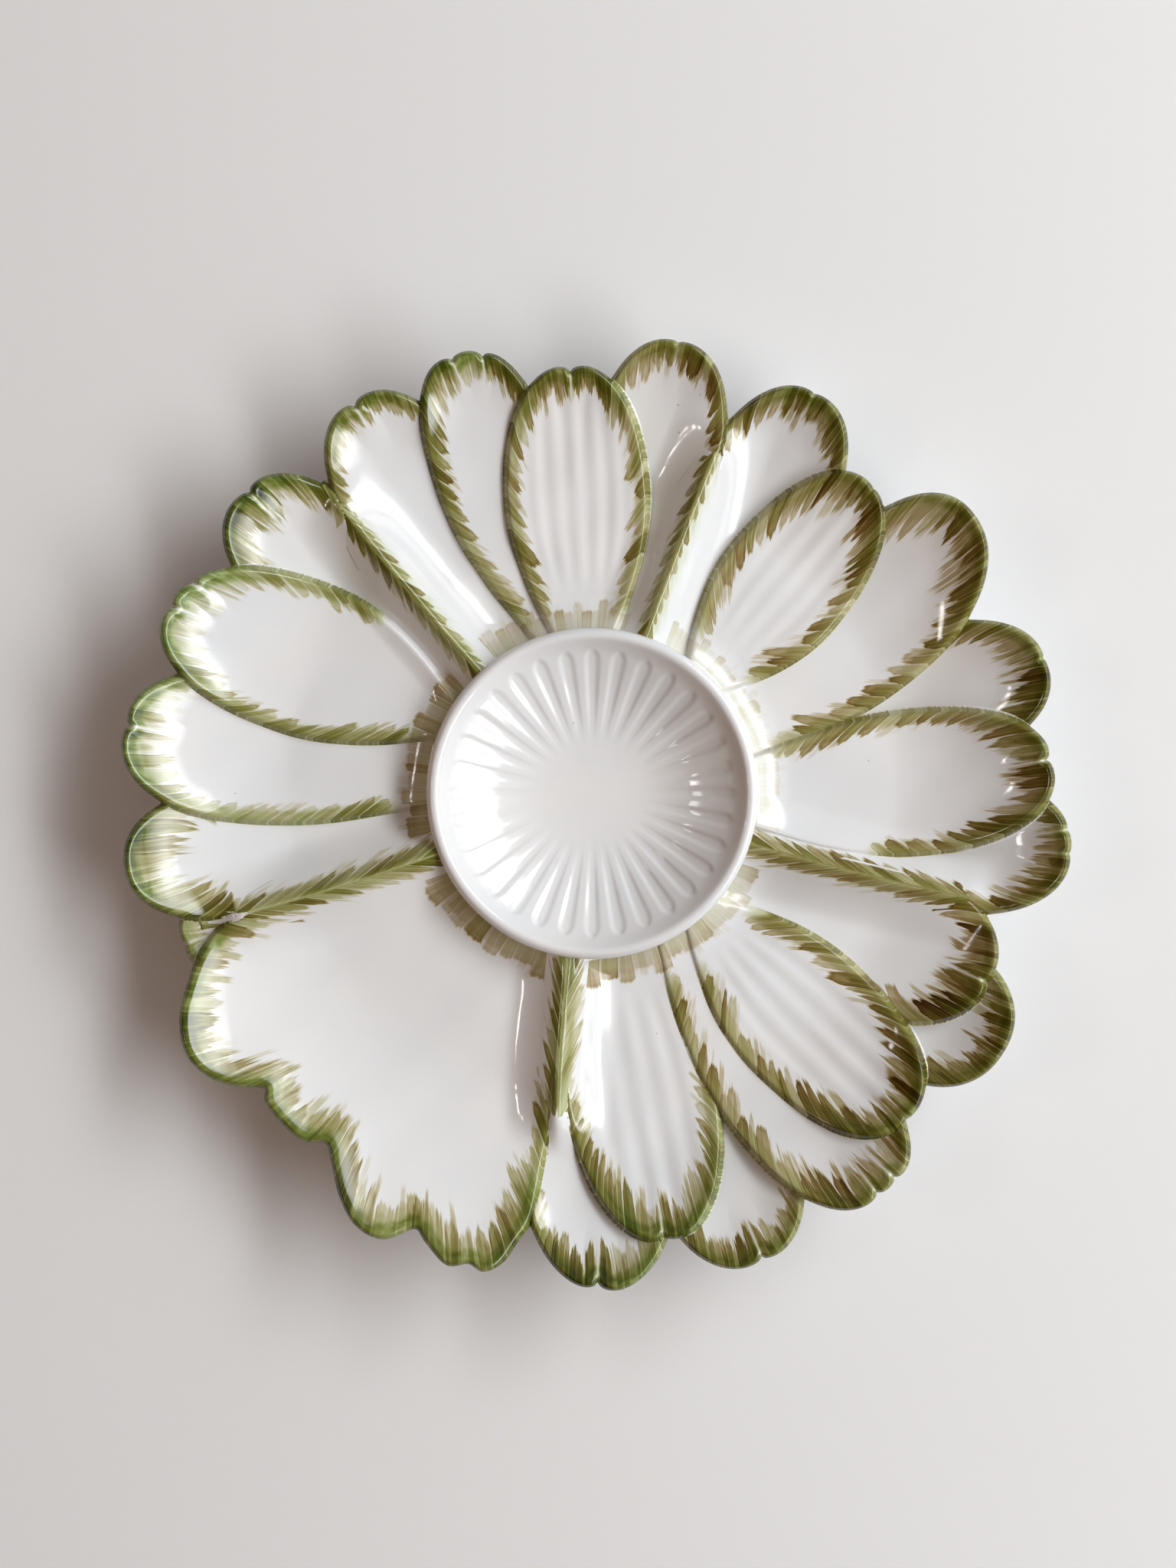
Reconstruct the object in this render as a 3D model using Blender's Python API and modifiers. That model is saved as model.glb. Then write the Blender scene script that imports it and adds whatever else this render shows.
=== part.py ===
"""Artichoke plate of glazed earthenware.

A fluted well in the middle holds the artichoke. Ribs run out from its rim and divide the dish into five
compartments. Overlapping leaves make four of them, and one big plain leaf makes the fifth, for the dip.
The fired body is divided here along the lines where its moulded elements meet.

Sizes are in millimetres, and MM turns them into Blender's metres. Bearings are in degrees, anticlockwise
from +X, seen from above. Radii are measured from the axis of the well, and reaches from its rim.
"""
import math
from typing import NamedTuple

import bmesh
import bpy

MM = 0.001

# Fit between neighbours
SEAT_GAP = 0.3
ROOT_OVERLAP = 3.0
MERGE = 0.02
CUTTER_BOTTOM = -5.0
CUTTER_TOP = 60.0

# Centre well
WELL_RADIUS = 46.0
WELL_RIM_BREADTH = 6.5
WELL_RIM_HEIGHT = 22.0
WELL_FLOOR_HEIGHT = 9.0
WELL_FLOOR_RADIUS = 12.0
WELL_BOWL_CURVE = 1.7
FLUTES = 32
FLUTE_DEPTH = 1.0
FLUTE_FADE = 0.5
STEPS_PER_FLUTE = 3
RIM_STEPS = 6
BOWL_STEPS = 7

# Foot ring, under the leaves beside the well
FOOT_REACH = 24.0
FOOT_BREADTH = 7.0
FOOT_HEIGHT = 5.0
FOOT_ROUND = 1.0
FOOT_STEPS = 72
FOOT_RADIUS = WELL_RADIUS + FOOT_REACH

# Dish: a flat floor that turns up towards the leaf tips
FLOOR_REACH = 38.0
TURN_UP_REACH = 90.0
TURN_UP_HEIGHT = 18.0
TURN_UP_CURVE = 1.6
WALL = 4.5
EVEN_WALL_REACH = 60.0

# Leaves: each layer lies higher, and the lip of a leaf stands up along its edge. Their breadths are stated
# for a well of the layout's radius, and fan out round a larger one
LAYER_STEP = 1.8
LIP_RISE = 2.2
LIP_BREADTH = 9.0
EDGE_ROUND = 0.8
LOBE_DEPTH = 1.2
SIDE_STEPS = 5
TIP_STEPS = 12
LEAF_ROWS = (1.0, 0.93, 0.75, 0.45, 0.0)
LAYOUT_WELL_RADIUS = 46.0

# Dividing ribs
RIB_BREADTH = 11.0
RIB_CREST_HEIGHT = 20.0
RIB_FLANK_RISE = 1.0
RIB_FLANK_CURVE = 1.5
RIB_ROWS = (1.0, 0.7, 0.4, 0.15, 0.0)

# Dip leaf: bearings of its straight sides at the root and at the shoulder, and of its spine
DIP_SHOULDER = 50.0
DIP_RIGHT_SIDE = (-99.0, -97.5)
DIP_LEFT_SIDE = (-158.5, -159.9)
DIP_SPINE_BEARING = -129.0
DIP_LAYER = 1
DIP_STEPS = 2

# Finish
WHITE_GLAZE = (0.86, 0.86, 0.84, 1.0)
GREEN_EDGED_GLAZE = (0.70, 0.75, 0.58, 1.0)
BISCUIT = (0.80, 0.73, 0.62, 1.0)
GLAZE_ROUGHNESS = 0.12
BISCUIT_ROUGHNESS = 0.6
SHARP_ANGLE = 40.0


class Leaf(NamedTuple):
    """A leaf on the dish: its spine runs from the root bearing to the tip bearing."""
    name: str
    root: float
    tip: float
    reach: float
    breadth: float
    shoulder: float
    root_breadth: float
    roundness: float
    lobes: int
    layer: float
    start: float = -ROOT_OVERLAP


LEAVES = (
    Leaf("leaf_top_1", 121.0, 121.3, 81.0, 38.0, 54.0, 18.0, 2.3, 3, 0),
    Leaf("leaf_top_2", 106.0, 107.0, 81.0, 34.0, 49.0, 8.0, 2.6, 3, 1),
    Leaf("leaf_top_3", 93.0, 93.0, 72.5, 39.5, 40.0, 18.0, 2.2, 2, 2),
    Leaf("leaf_top_4", 79.5, 79.2, 81.0, 36.0, 54.0, 16.0, 2.3, 2, 0),
    Leaf("leaf_right_1", 60.5, 60.5, 80.5, 37.0, 54.0, 14.0, 2.3, 2, 0),
    Leaf("leaf_right_2", 46.3, 48.4, 69.0, 36.0, 35.0, 13.0, 2.2, 3, 2),
    Leaf("leaf_right_3", 28.0, 36.0, 83.5, 42.0, 52.0, 24.0, 2.3, 2, 1),
    Leaf("leaf_right_4", 16.0, 15.8, 84.0, 37.0, 58.0, 10.0, 2.3, 2, 0, start=20.0),
    Leaf("leaf_right_5", 0.5, 3.0, 81.0, 39.5, 46.0, 20.0, 2.3, 3, 2),
    Leaf("leaf_right_6", -9.0, -7.2, 86.5, 38.0, 60.0, 12.0, 2.3, 2, 0, start=10.0),
    Leaf("leaf_lower_1", -29.0, -25.0, 75.5, 41.0, 54.0, 20.0, 2.1, 2, 1),
    Leaf("leaf_lower_2", -33.5, -32.3, 87.0, 40.0, 66.0, 10.0, 2.3, 2, 0, start=42.0),
    Leaf("leaf_lower_3", -47.5, -46.0, 78.5, 40.5, 43.0, 13.0, 2.4, 3, 2),
    Leaf("leaf_lower_4", -58.0, -54.0, 89.5, 41.0, 56.0, 14.0, 2.6, 4, 1.5),
    Leaf("leaf_lower_5", -70.5, -70.5, 90.5, 40.0, 66.0, 8.0, 2.3, 2, 0, start=36.0),
    Leaf("leaf_lower_6", -81.5, -80.3, 79.0, 42.0, 44.0, 24.0, 2.1, 2, 1),
    Leaf("leaf_lower_7", -90.0, -88.5, 90.5, 42.0, 64.0, 8.0, 2.0, 2, 0, start=34.0),
    Leaf("leaf_left_1", 139.5, 140.0, 81.5, 37.0, 56.0, 16.0, 2.4, 3, 0),
    Leaf("leaf_left_2", 153.0, 156.5, 81.5, 42.5, 46.0, 12.0, 2.3, 3, 2),
    Leaf("leaf_left_3", 172.5, 172.5, 84.0, 41.0, 56.0, 18.0, 2.3, 3, 1),
    Leaf("leaf_left_4", 189.0, 189.0, 84.0, 36.0, 58.0, 22.0, 2.3, 2, 0),
    Leaf("dip_back_leaf", 200.5, 200.3, 75.0, 20.0, 64.0, 10.0, 2.8, 1, -1, start=48.0),
)

# Name, root bearing, end bearing and reach of each rib
RIBS = (
    ("rib_upper_left", 133.0, 131.2, 65.0),
    ("rib_upper_right", 71.3, 70.0, 65.0),
    ("rib_right", -17.8, -15.4, 67.0),
    ("rib_lower", -98.5, -96.3, 43.0),
    ("rib_left", 201.2, 199.0, 58.0),
)

# Bearing and reach of the points of the dip leaf's scalloped edge, from its right shoulder to its left one
DIP_EDGE = (
    (-97.5, 50.0), (-97.8, 64.0), (-98.3, 73.0), (-99.6, 79.0), (-101.0, 85.0), (-102.9, 88.0),
    (-104.8, 87.0), (-107.2, 88.8), (-110.3, 85.2), (-112.3, 83.0), (-115.3, 88.6), (-118.7, 88.6),
    (-122.0, 84.4), (-125.0, 78.6), (-127.3, 75.2), (-130.0, 78.4), (-133.3, 78.6), (-136.5, 77.8),
    (-138.2, 75.6), (-141.0, 81.2), (-144.0, 85.0), (-147.5, 86.0), (-151.3, 83.0), (-154.5, 77.5),
    (-157.9, 70.5), (-160.3, 62.0), (-159.9, 50.0),
)


class Column(NamedTuple):
    """An edge point of a tile of the dish, and the spine point that it faces, in polar coordinates."""
    edge_radius: float
    edge_bearing: float
    spine_radius: float
    spine_bearing: float


def point(radius, bearing, height):
    """Cartesian point, in metres, of a polar place on the plate."""
    angle = math.radians(bearing)
    return (radius * math.cos(angle) * MM, radius * math.sin(angle) * MM, height * MM)


def underside(radius):
    """Height of the dish's underside: flat over the foot ring, then turned up."""
    turn = max(0.0, radius - WELL_RADIUS - FLOOR_REACH) / (TURN_UP_REACH - FLOOR_REACH)
    return FOOT_HEIGHT + SEAT_GAP + TURN_UP_HEIGHT * turn ** TURN_UP_CURVE


def lower_height(radius, upper_height):
    """Height under an upper surface: flat over the foot ring, and an even wall lower towards the tips."""
    base = underside(radius)
    beyond = (radius - WELL_RADIUS - FLOOR_REACH) / (EVEN_WALL_REACH - FLOOR_REACH)
    share = min(1.0, max(0.0, beyond))
    return base + share * (upper_height - WALL - base)


# Outlines
def spine_bearing(leaf, radius):
    return leaf.root + (leaf.tip - leaf.root) * (radius - WELL_RADIUS) / leaf.reach


def half_breadth(leaf, radius):
    """Half the breadth of a leaf between its root and its shoulder."""
    swell = math.sin(0.5 * math.pi * (radius - WELL_RADIUS) / leaf.shoulder)
    return 0.5 * (leaf.root_breadth + (leaf.breadth - leaf.root_breadth) * swell)


def tip_place(leaf, turn):
    """Radius and sideways offset on the tip, from the left shoulder at 0 to the right one at pi."""
    power = 2.0 / leaf.roundness
    across = math.cos(turn)
    out = max(0.0, math.sin(turn))
    offset = 0.5 * leaf.breadth * math.copysign(abs(across) ** power, across)
    wave = math.cos(2.0 * leaf.lobes * (turn - 0.5 * math.pi)) * (-1.0) ** leaf.lobes
    notch = LOBE_DEPTH * out ** 4 * (0.5 + 0.5 * wave)
    radius = WELL_RADIUS + leaf.shoulder + (leaf.reach - leaf.shoulder) * out ** power - notch
    return radius, offset


def leaf_columns(leaf, well_radius=LAYOUT_WELL_RADIUS):
    """Columns of a leaf: out along its left side, round the tip and back along its right side.

    Its breadths are those round a well of the given radius.
    """
    start = WELL_RADIUS + leaf.start
    shoulder = WELL_RADIUS + leaf.shoulder

    def column(radius, offset, spine_radius):
        bearing = spine_bearing(leaf, radius) + math.degrees(offset / (radius - WELL_RADIUS + well_radius))
        return Column(radius, bearing, spine_radius, spine_bearing(leaf, spine_radius))

    side_radii = [start + (shoulder - start) * step / SIDE_STEPS for step in range(SIDE_STEPS)]
    columns = [column(radius, half_breadth(leaf, radius), radius) for radius in side_radii]
    for step in range(TIP_STEPS + 1):
        radius, offset = tip_place(leaf, math.pi * step / TIP_STEPS)
        columns.append(column(radius, offset, shoulder))
    columns += [column(radius, -half_breadth(leaf, radius), radius) for radius in reversed(side_radii)]
    return columns


def rib_columns(root, end, reach):
    """Columns of a rib: a straight strip with a round end."""
    strip = Leaf("strip", root, end, reach, RIB_BREADTH, reach - 0.5 * RIB_BREADTH, RIB_BREADTH, 2.0, 1, 0)
    return leaf_columns(strip, WELL_RADIUS)


def smooth_path(places, steps):
    """Points on a smooth curve through polar places, with the same number of steps between two of them."""
    padded = (places[0],) + places + (places[-1],)
    path = []
    for before, here, after, beyond in zip(padded, padded[1:], padded[2:], padded[3:]):
        for step in range(steps):
            t = step / steps
            weights = (
                -0.5 * t + t ** 2 - 0.5 * t ** 3,
                1.0 - 2.5 * t ** 2 + 1.5 * t ** 3,
                0.5 * t + 2.0 * t ** 2 - 1.5 * t ** 3,
                -0.5 * t ** 2 + 0.5 * t ** 3,
            )
            corners = (before, here, after, beyond)
            path.append(tuple(sum(w * c[axis] for w, c in zip(weights, corners)) for axis in (0, 1)))
    path.append(places[-1])
    return path


def dip_columns():
    """Columns of the dip leaf: out along its right side, round its scalloped edge and back on its left."""
    def side_column(side, reach):
        root, shoulder = side
        bearing = root + (shoulder - root) * reach / DIP_SHOULDER
        return Column(WELL_RADIUS + reach, bearing, WELL_RADIUS + reach, DIP_SPINE_BEARING)

    length = DIP_SHOULDER + ROOT_OVERLAP
    side_reaches = [length * step / SIDE_STEPS - ROOT_OVERLAP for step in range(SIDE_STEPS)]
    columns = [side_column(DIP_RIGHT_SIDE, reach) for reach in side_reaches]
    for bearing, reach in smooth_path(DIP_EDGE, DIP_STEPS):
        columns.append(Column(WELL_RADIUS + reach, bearing, WELL_RADIUS + DIP_SHOULDER, DIP_SPINE_BEARING))
    columns += [side_column(DIP_LEFT_SIDE, reach) for reach in reversed(side_reaches)]
    return columns


# Heights of the upper surfaces, by radius, distance in from the edge, and share of the way to the edge
def leaf_height(layer):
    def height(radius, inset, share):
        lip = LIP_RISE * max(0.0, 1.0 - inset / LIP_BREADTH) ** 2
        rounding = EDGE_ROUND if share == 1.0 else 0.0
        return underside(radius) + WALL + LAYER_STEP * layer + lip - rounding

    return height


def rib_height(radius, inset, share):
    flank_foot = underside(radius) + WALL + RIB_FLANK_RISE
    return flank_foot + (RIB_CREST_HEIGHT - flank_foot) * (1.0 - share) ** RIB_FLANK_CURVE


# Meshes
def tile_mesh(name, columns, rows, height):
    """Closed solid between an upper surface over the columns and the surface under it."""
    mesh = bpy.data.meshes.new(name)
    shape = bmesh.new()
    grid = []
    for share in rows:
        line = []
        for column in columns:
            radius = column.spine_radius + share * (column.edge_radius - column.spine_radius)
            bearing = column.spine_bearing + share * (column.edge_bearing - column.spine_bearing)
            sideways = math.radians(column.edge_bearing - column.spine_bearing) * radius
            inset = (1.0 - share) * math.hypot(sideways, column.edge_radius - column.spine_radius)
            line.append(shape.verts.new(point(radius, bearing, height(radius, inset, share))))
        grid.append(line)
    for outer, inner in zip(grid, grid[1:]):
        for left in range(len(columns) - 1):
            shape.faces.new((outer[left], outer[left + 1], inner[left + 1], inner[left]))
    bmesh.ops.remove_doubles(shape, verts=shape.verts, dist=MERGE * MM)
    lower = bmesh.ops.extrude_face_region(shape, geom=list(shape.faces))
    for vertex in lower["geom"]:
        if isinstance(vertex, bmesh.types.BMVert):
            radius = math.hypot(vertex.co.x, vertex.co.y) / MM
            vertex.co.z = lower_height(radius, vertex.co.z / MM) * MM
    bmesh.ops.triangulate(shape, faces=shape.faces)
    bmesh.ops.recalc_face_normals(shape, faces=shape.faces)
    shape.to_mesh(mesh)
    shape.free()
    return mesh


def prism_mesh(name, outline):
    """Upright prism over a closed outline, tall enough to cut any tile."""
    mesh = bpy.data.meshes.new(name)
    shape = bmesh.new()
    base = shape.faces.new([shape.verts.new((x, y, CUTTER_BOTTOM * MM)) for x, y in outline])
    upper = bmesh.ops.extrude_face_region(shape, geom=[base])
    for vertex in upper["geom"]:
        if isinstance(vertex, bmesh.types.BMVert):
            vertex.co.z = CUTTER_TOP * MM
    bmesh.ops.recalc_face_normals(shape, faces=shape.faces)
    shape.to_mesh(mesh)
    shape.free()
    return mesh


def grown_outline(columns, gap):
    """Edge of the columns, moved outwards by a gap."""
    edge = [point(column.edge_radius, column.edge_bearing, 0.0)[:2] for column in columns]
    grown = []
    for index, (x, y) in enumerate(edge):
        x_before, y_before = edge[index - 1]
        x_after, y_after = edge[(index + 1) % len(edge)]
        along_x = x_after - x_before
        along_y = y_after - y_before
        length = math.hypot(along_x, along_y)
        clockwise = columns[0].edge_bearing > columns[-1].edge_bearing
        side = gap * MM / length if clockwise else -gap * MM / length
        grown.append((x - along_y * side, y + along_x * side))
    return grown


def well_rings():
    """Radius, height and flute depth of the rings of the well, from under its middle over the rim and in."""
    rim_half = 0.5 * WELL_RIM_BREADTH
    rim_middle = WELL_RADIUS - rim_half
    rim_base = WELL_RIM_HEIGHT - rim_half
    bowl_radius = WELL_RADIUS - WELL_RIM_BREADTH
    bottom = FOOT_HEIGHT + SEAT_GAP
    rings = [(0.0, bottom, 0.0), (WELL_RADIUS, bottom, 0.0)]
    for step in range(RIM_STEPS + 1):
        turn = math.pi * step / RIM_STEPS
        rings.append((rim_middle + rim_half * math.cos(turn), rim_base + rim_half * math.sin(turn), 0.0))
    for step in range(1, BOWL_STEPS):
        share = 1.0 - step / BOWL_STEPS
        radius = WELL_FLOOR_RADIUS + (bowl_radius - WELL_FLOOR_RADIUS) * share
        height = WELL_FLOOR_HEIGHT + (rim_base - WELL_FLOOR_HEIGHT) * share ** WELL_BOWL_CURVE
        rings.append((radius, height, FLUTE_DEPTH * share ** FLUTE_FADE))
    rings.append((WELL_FLOOR_RADIUS, WELL_FLOOR_HEIGHT, 0.0))
    rings.append((0.0, WELL_FLOOR_HEIGHT, 0.0))
    return rings


def well_mesh(name):
    """Fluted bowl with a rolled rim, lofted through its rings."""
    mesh = bpy.data.meshes.new(name)
    shape = bmesh.new()
    count = FLUTES * STEPS_PER_FLUTE
    loops = []
    for radius, height, flute in well_rings():
        loop = []
        for step in range(count):
            ridge = flute * (0.5 + 0.5 * math.cos(2.0 * math.pi * step / STEPS_PER_FLUTE))
            loop.append(shape.verts.new(point(radius, 360.0 * step / count, height + ridge)))
        loops.append(loop)
    for lower, upper in zip(loops, loops[1:]):
        for step in range(count):
            following = (step + 1) % count
            shape.faces.new((lower[step], lower[following], upper[following], upper[step]))
    bmesh.ops.remove_doubles(shape, verts=shape.verts, dist=MERGE * MM)
    bmesh.ops.recalc_face_normals(shape, faces=shape.faces)
    shape.to_mesh(mesh)
    shape.free()
    return mesh


def foot_profile_mesh(name):
    """Closed profile of the foot ring at +X, from its outer top corner down and round."""
    inner = FOOT_RADIUS - FOOT_BREADTH
    corners = (
        (FOOT_RADIUS, FOOT_HEIGHT),
        (FOOT_RADIUS, FOOT_ROUND),
        (FOOT_RADIUS - FOOT_ROUND, 0.0),
        (inner + FOOT_ROUND, 0.0),
        (inner, FOOT_ROUND),
        (inner, FOOT_HEIGHT),
    )
    mesh = bpy.data.meshes.new(name)
    places = [(radius * MM, 0.0, height * MM) for radius, height in corners]
    edges = [(index, (index + 1) % len(places)) for index in range(len(places))]
    mesh.from_pydata(places, edges, [])
    return mesh


# Objects
def glaze(name, colour, roughness):
    """Plain glazed or bare ceramic of one colour."""
    material = bpy.data.materials.new(name)
    material.use_nodes = True
    shader = material.node_tree.nodes["Principled BSDF"]
    shader.inputs["Base Color"].default_value = colour
    shader.inputs["Roughness"].default_value = roughness
    shader.inputs["Metallic"].default_value = 0.0
    return material


def add_piece(collection, plate, mesh, material=None):
    """Object for a mesh, under the plate's empty. A mesh without a material is a cutter."""
    piece = bpy.data.objects.new(mesh.name, mesh)
    collection.objects.link(piece)
    piece.parent = plate
    if material:
        mesh.materials.append(material)
        mesh.shade_smooth()
        mesh.set_sharp_from_angle(angle=math.radians(SHARP_ANGLE))
    else:
        piece.hide_render = True
        piece.display_type = "WIRE"
    return piece


def cut(piece, cutter):
    modifier = piece.modifiers.new("clear of " + cutter.name, "BOOLEAN")
    modifier.operation = "DIFFERENCE"
    modifier.solver = "EXACT"
    modifier.object = cutter


def weld(piece):
    """Merge the shortest edges that cuts leave."""
    modifier = piece.modifiers.new("weld", "WELD")
    modifier.merge_threshold = MERGE * MM


def bearings_meet(columns, others):
    """Whether two sets of columns share a bearing, so that one may lie on the other."""
    low = min(column.edge_bearing for column in columns)
    high = max(column.edge_bearing for column in columns)
    other_low = min(column.edge_bearing for column in others)
    other_high = max(column.edge_bearing for column in others)
    return any(low < other_high + turn and other_low + turn < high for turn in (-360.0, 0.0, 360.0))


def add_tiles(parts, cutters, plate, well_cutter):
    """Ribs, dip leaf and leaves, the uppermost first. Each one clears the well and all that lie on it."""
    tiles = [(name, rib_columns(root, end, reach), RIB_ROWS, rib_height, WHITE_GLAZE)
             for name, root, end, reach in RIBS]
    tiles.append(("dip_leaf", dip_columns(), LEAF_ROWS, leaf_height(DIP_LAYER), GREEN_EDGED_GLAZE))
    for leaf in sorted(LEAVES, key=lambda leaf: -leaf.layer):
        tiles.append((leaf.name, leaf_columns(leaf), LEAF_ROWS, leaf_height(leaf.layer), GREEN_EDGED_GLAZE))
    above = []
    for name, columns, rows, height, colour in tiles:
        material = glaze(name + "_glaze", colour, GLAZE_ROUGHNESS)
        piece = add_piece(parts, plate, tile_mesh(name, columns, rows, height), material)
        cut(piece, well_cutter)
        for upper_columns, upper_cutter in above:
            if bearings_meet(columns, upper_columns):
                cut(piece, upper_cutter)
        weld(piece)
        prism = prism_mesh(name + "_cutter", grown_outline(columns, SEAT_GAP))
        above.append((columns, add_piece(cutters, plate, prism)))


def plan_centre():
    """Middle of the plate's box in plan, in metres from the axis of the well."""
    outlines = [leaf_columns(leaf) for leaf in LEAVES] + [dip_columns()]
    columns = [column for outline in outlines for column in outline]
    places = [point(column.edge_radius, column.edge_bearing, 0.0) for column in columns]
    across, along, _ = zip(*places)
    return 0.5 * (min(across) + max(across)), 0.5 * (min(along) + max(along))


def add_well(parts, cutters, plate):
    """The well, and the round cutter that clears everything from it."""
    add_piece(parts, plate, well_mesh("well_cup"), glaze("well_glaze", WHITE_GLAZE, GLAZE_ROUGHNESS))
    count = FLUTES * STEPS_PER_FLUTE
    radius = WELL_RADIUS + SEAT_GAP
    circle = [point(radius, 360.0 * step / count, 0.0)[:2] for step in range(count)]
    return add_piece(cutters, plate, prism_mesh("well_cutter", circle))


def add_foot(parts, plate):
    material = glaze("foot_biscuit", BISCUIT, BISCUIT_ROUGHNESS)
    foot = add_piece(parts, plate, foot_profile_mesh("foot_ring"), material)
    turn = foot.modifiers.new("turned ring", "SCREW")
    turn.steps = FOOT_STEPS
    turn.render_steps = FOOT_STEPS
    turn.use_merge_vertices = True
    turn.merge_threshold = MERGE * MM


def main():
    for leftover in list(bpy.data.objects):
        bpy.data.objects.remove(leftover)
    parts = bpy.data.collections.new("Artichoke plate")
    cutters = bpy.data.collections.new("Cutters")
    bpy.context.scene.collection.children.link(parts)
    bpy.context.scene.collection.children.link(cutters)
    plate = bpy.data.objects.new("plate", None)
    parts.objects.link(plate)
    centre_x, centre_y = plan_centre()
    plate.location = (-centre_x, -centre_y, 0.0)
    well_cutter = add_well(parts, cutters, plate)
    add_foot(parts, plate)
    add_tiles(parts, cutters, plate, well_cutter)


main()
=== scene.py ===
"""Looks of the artichoke plate: glazed leaves with brushed edges round a fluted well.

Shapes are worked out in millimetres from the well's axis. A bearing is in degrees, 0 towards +X
and 90 towards +Y. A reach is a distance outwards from the well's wall. Left and right are as seen
from the well, looking outwards. Meshes are in metres.
"""

import math
from typing import NamedTuple

import bmesh
import bpy
import numpy as np
from mathutils import Matrix, Vector


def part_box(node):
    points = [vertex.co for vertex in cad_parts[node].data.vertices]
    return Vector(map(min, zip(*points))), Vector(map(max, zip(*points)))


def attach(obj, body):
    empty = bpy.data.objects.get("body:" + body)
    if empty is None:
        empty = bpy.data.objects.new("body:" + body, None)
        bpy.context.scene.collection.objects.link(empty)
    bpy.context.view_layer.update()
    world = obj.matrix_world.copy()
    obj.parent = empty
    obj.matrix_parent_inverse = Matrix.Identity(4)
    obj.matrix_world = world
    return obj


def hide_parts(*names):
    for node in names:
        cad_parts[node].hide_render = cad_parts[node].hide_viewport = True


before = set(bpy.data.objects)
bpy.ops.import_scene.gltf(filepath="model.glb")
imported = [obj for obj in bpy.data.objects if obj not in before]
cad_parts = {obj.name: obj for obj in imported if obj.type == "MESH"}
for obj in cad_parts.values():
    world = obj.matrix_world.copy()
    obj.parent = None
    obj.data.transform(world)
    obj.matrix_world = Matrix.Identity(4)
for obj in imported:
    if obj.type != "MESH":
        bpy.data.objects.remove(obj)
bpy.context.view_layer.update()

MM = 0.001

# Places and sizes taken from the frame
WELL_LOW, WELL_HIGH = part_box("well_cup")
FOOT_LOW, FOOT_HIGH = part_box("foot_ring")
AXIS = 0.5 * (WELL_LOW + WELL_HIGH)
WELL_RADIUS = 0.5 * (WELL_HIGH.x - WELL_LOW.x) / MM
WELL_TOP = WELL_HIGH.z / MM
UNDERSIDE = WELL_LOW.z / MM
FOOT_RADIUS = 0.5 * (FOOT_HIGH.x - FOOT_LOW.x) / MM
FOOT_HEIGHT = FOOT_HIGH.z / MM

# Dish that the leaves lie in
FLOOR_REACH = 38
TURN_UP_REACH = 90
TURN_UP_HEIGHT = 18
TURN_UP_CURVE = 1.6
WALL = 4.5
EVEN_WALL_START = 54
EVEN_WALL_REACH = 78
WELL_SWEEP_RISE = 3.4
WELL_SWEEP_BREADTH = 10

# Leaf edges
LAYER_STEP = 1.8
BASE_STEP = 0.02
BASE_ROWS = (0, 0.25, 0.6, 1)
LIP_RISE = 3.2
LIP_BREADTH = 16
LIP_SHARE = 0.8
LIP_ON_SIDES = 0.2
LIP_SIDE_REACH = 52
LIP_TIP_REACH = 72
EDGE_ROLL = 0.6
EDGE_ROLL_BREADTH = 1.5
NOTCH_SHARE = 0.85
NOTCH_BREADTH = 2.6
NOTCH_CROWDING = 4
SLIT_SHARE = 0.3
SLIT_BREADTH = 0.7
CREASE_BREADTH = 0.75
CREASE_DEPTH = 0.2
CREASE_LENGTH = 6
EDGE_SOFTNESS = 0.4
# An edge is a free rim where no other leaf lies this far outside it
EDGE_PROBE = 1.6
# Odd number of columns over which a free rim turns into a step down to the next leaf
EDGE_BLUR = 9
RIM_SLOPE = 5
RIM_SPREAD = 0.7
RIM_TUCK = 0.9
RIM_PAINT = 2.0
STEP_SLOPE = 3.4
STEP_SPREAD = 2.2
STEP_FILLET = 1.2
STEP_SINK = 0.12
COVERED = 0.4
COVERED_SINK = 0.7

# Shallow flutes along some leaves: height, and where they fade in from the edge and from the well
FLUTE_WAVE = 0.13
FLUTE_EDGE = (3, 9)
FLUTE_ROOT = (8, 22)
# Unevenness of a form pressed by hand: height, run of its waves, and their shift from leaf to leaf
HAND_WAVE = 0.12
HAND_WAVE_X = 6.1
HAND_WAVE_Y = 5.3
HAND_WAVE_SLANTED = 3.7
HAND_WAVE_SLANTED_SHARE = 0.6
HAND_WAVE_SHIFT = 1.7

# Ribs between the compartments
RIB_CREST = 20
RIB_FLANK = 14
RIB_FLANK_CURVE = 1.5
RIB_ROUND = 1.0
RIB_FADE = 14
RIB_FADE_INSIDE = 0.4

# Caps of the ribs, with a groove along the crest of some
RIB_CAP = 7.5
RIB_CAP_START = -2
RIB_CAP_RISE = 0.06
RIB_CAP_EDGE = (0.6, 1)
RIB_CAP_NARROWING = 0.8
RIB_CAP_BASE = 0.01
RIB_CAP_WALL = 1
RIB_BLEND = 0.8
RIB_BLEND_LOSS = 0.78
RIB_BLEND_EDGE = (0.1, 0.55)
RIB_SIDE_REACH = 0.3
RIB_GROOVE = 0.22
RIB_GROOVE_BREADTH = 0.7
RIB_SLIT = 0.45

# Outer ends of the caps: looked for from a share of the rib's reach, and set back from the notch there
RIB_END_SEARCH = 0.75
RIB_END_REACH = 1.5
RIB_END_GAP = 2
RIB_END_DROP = 1.5
RIB_END_CURVE = 4

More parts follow.
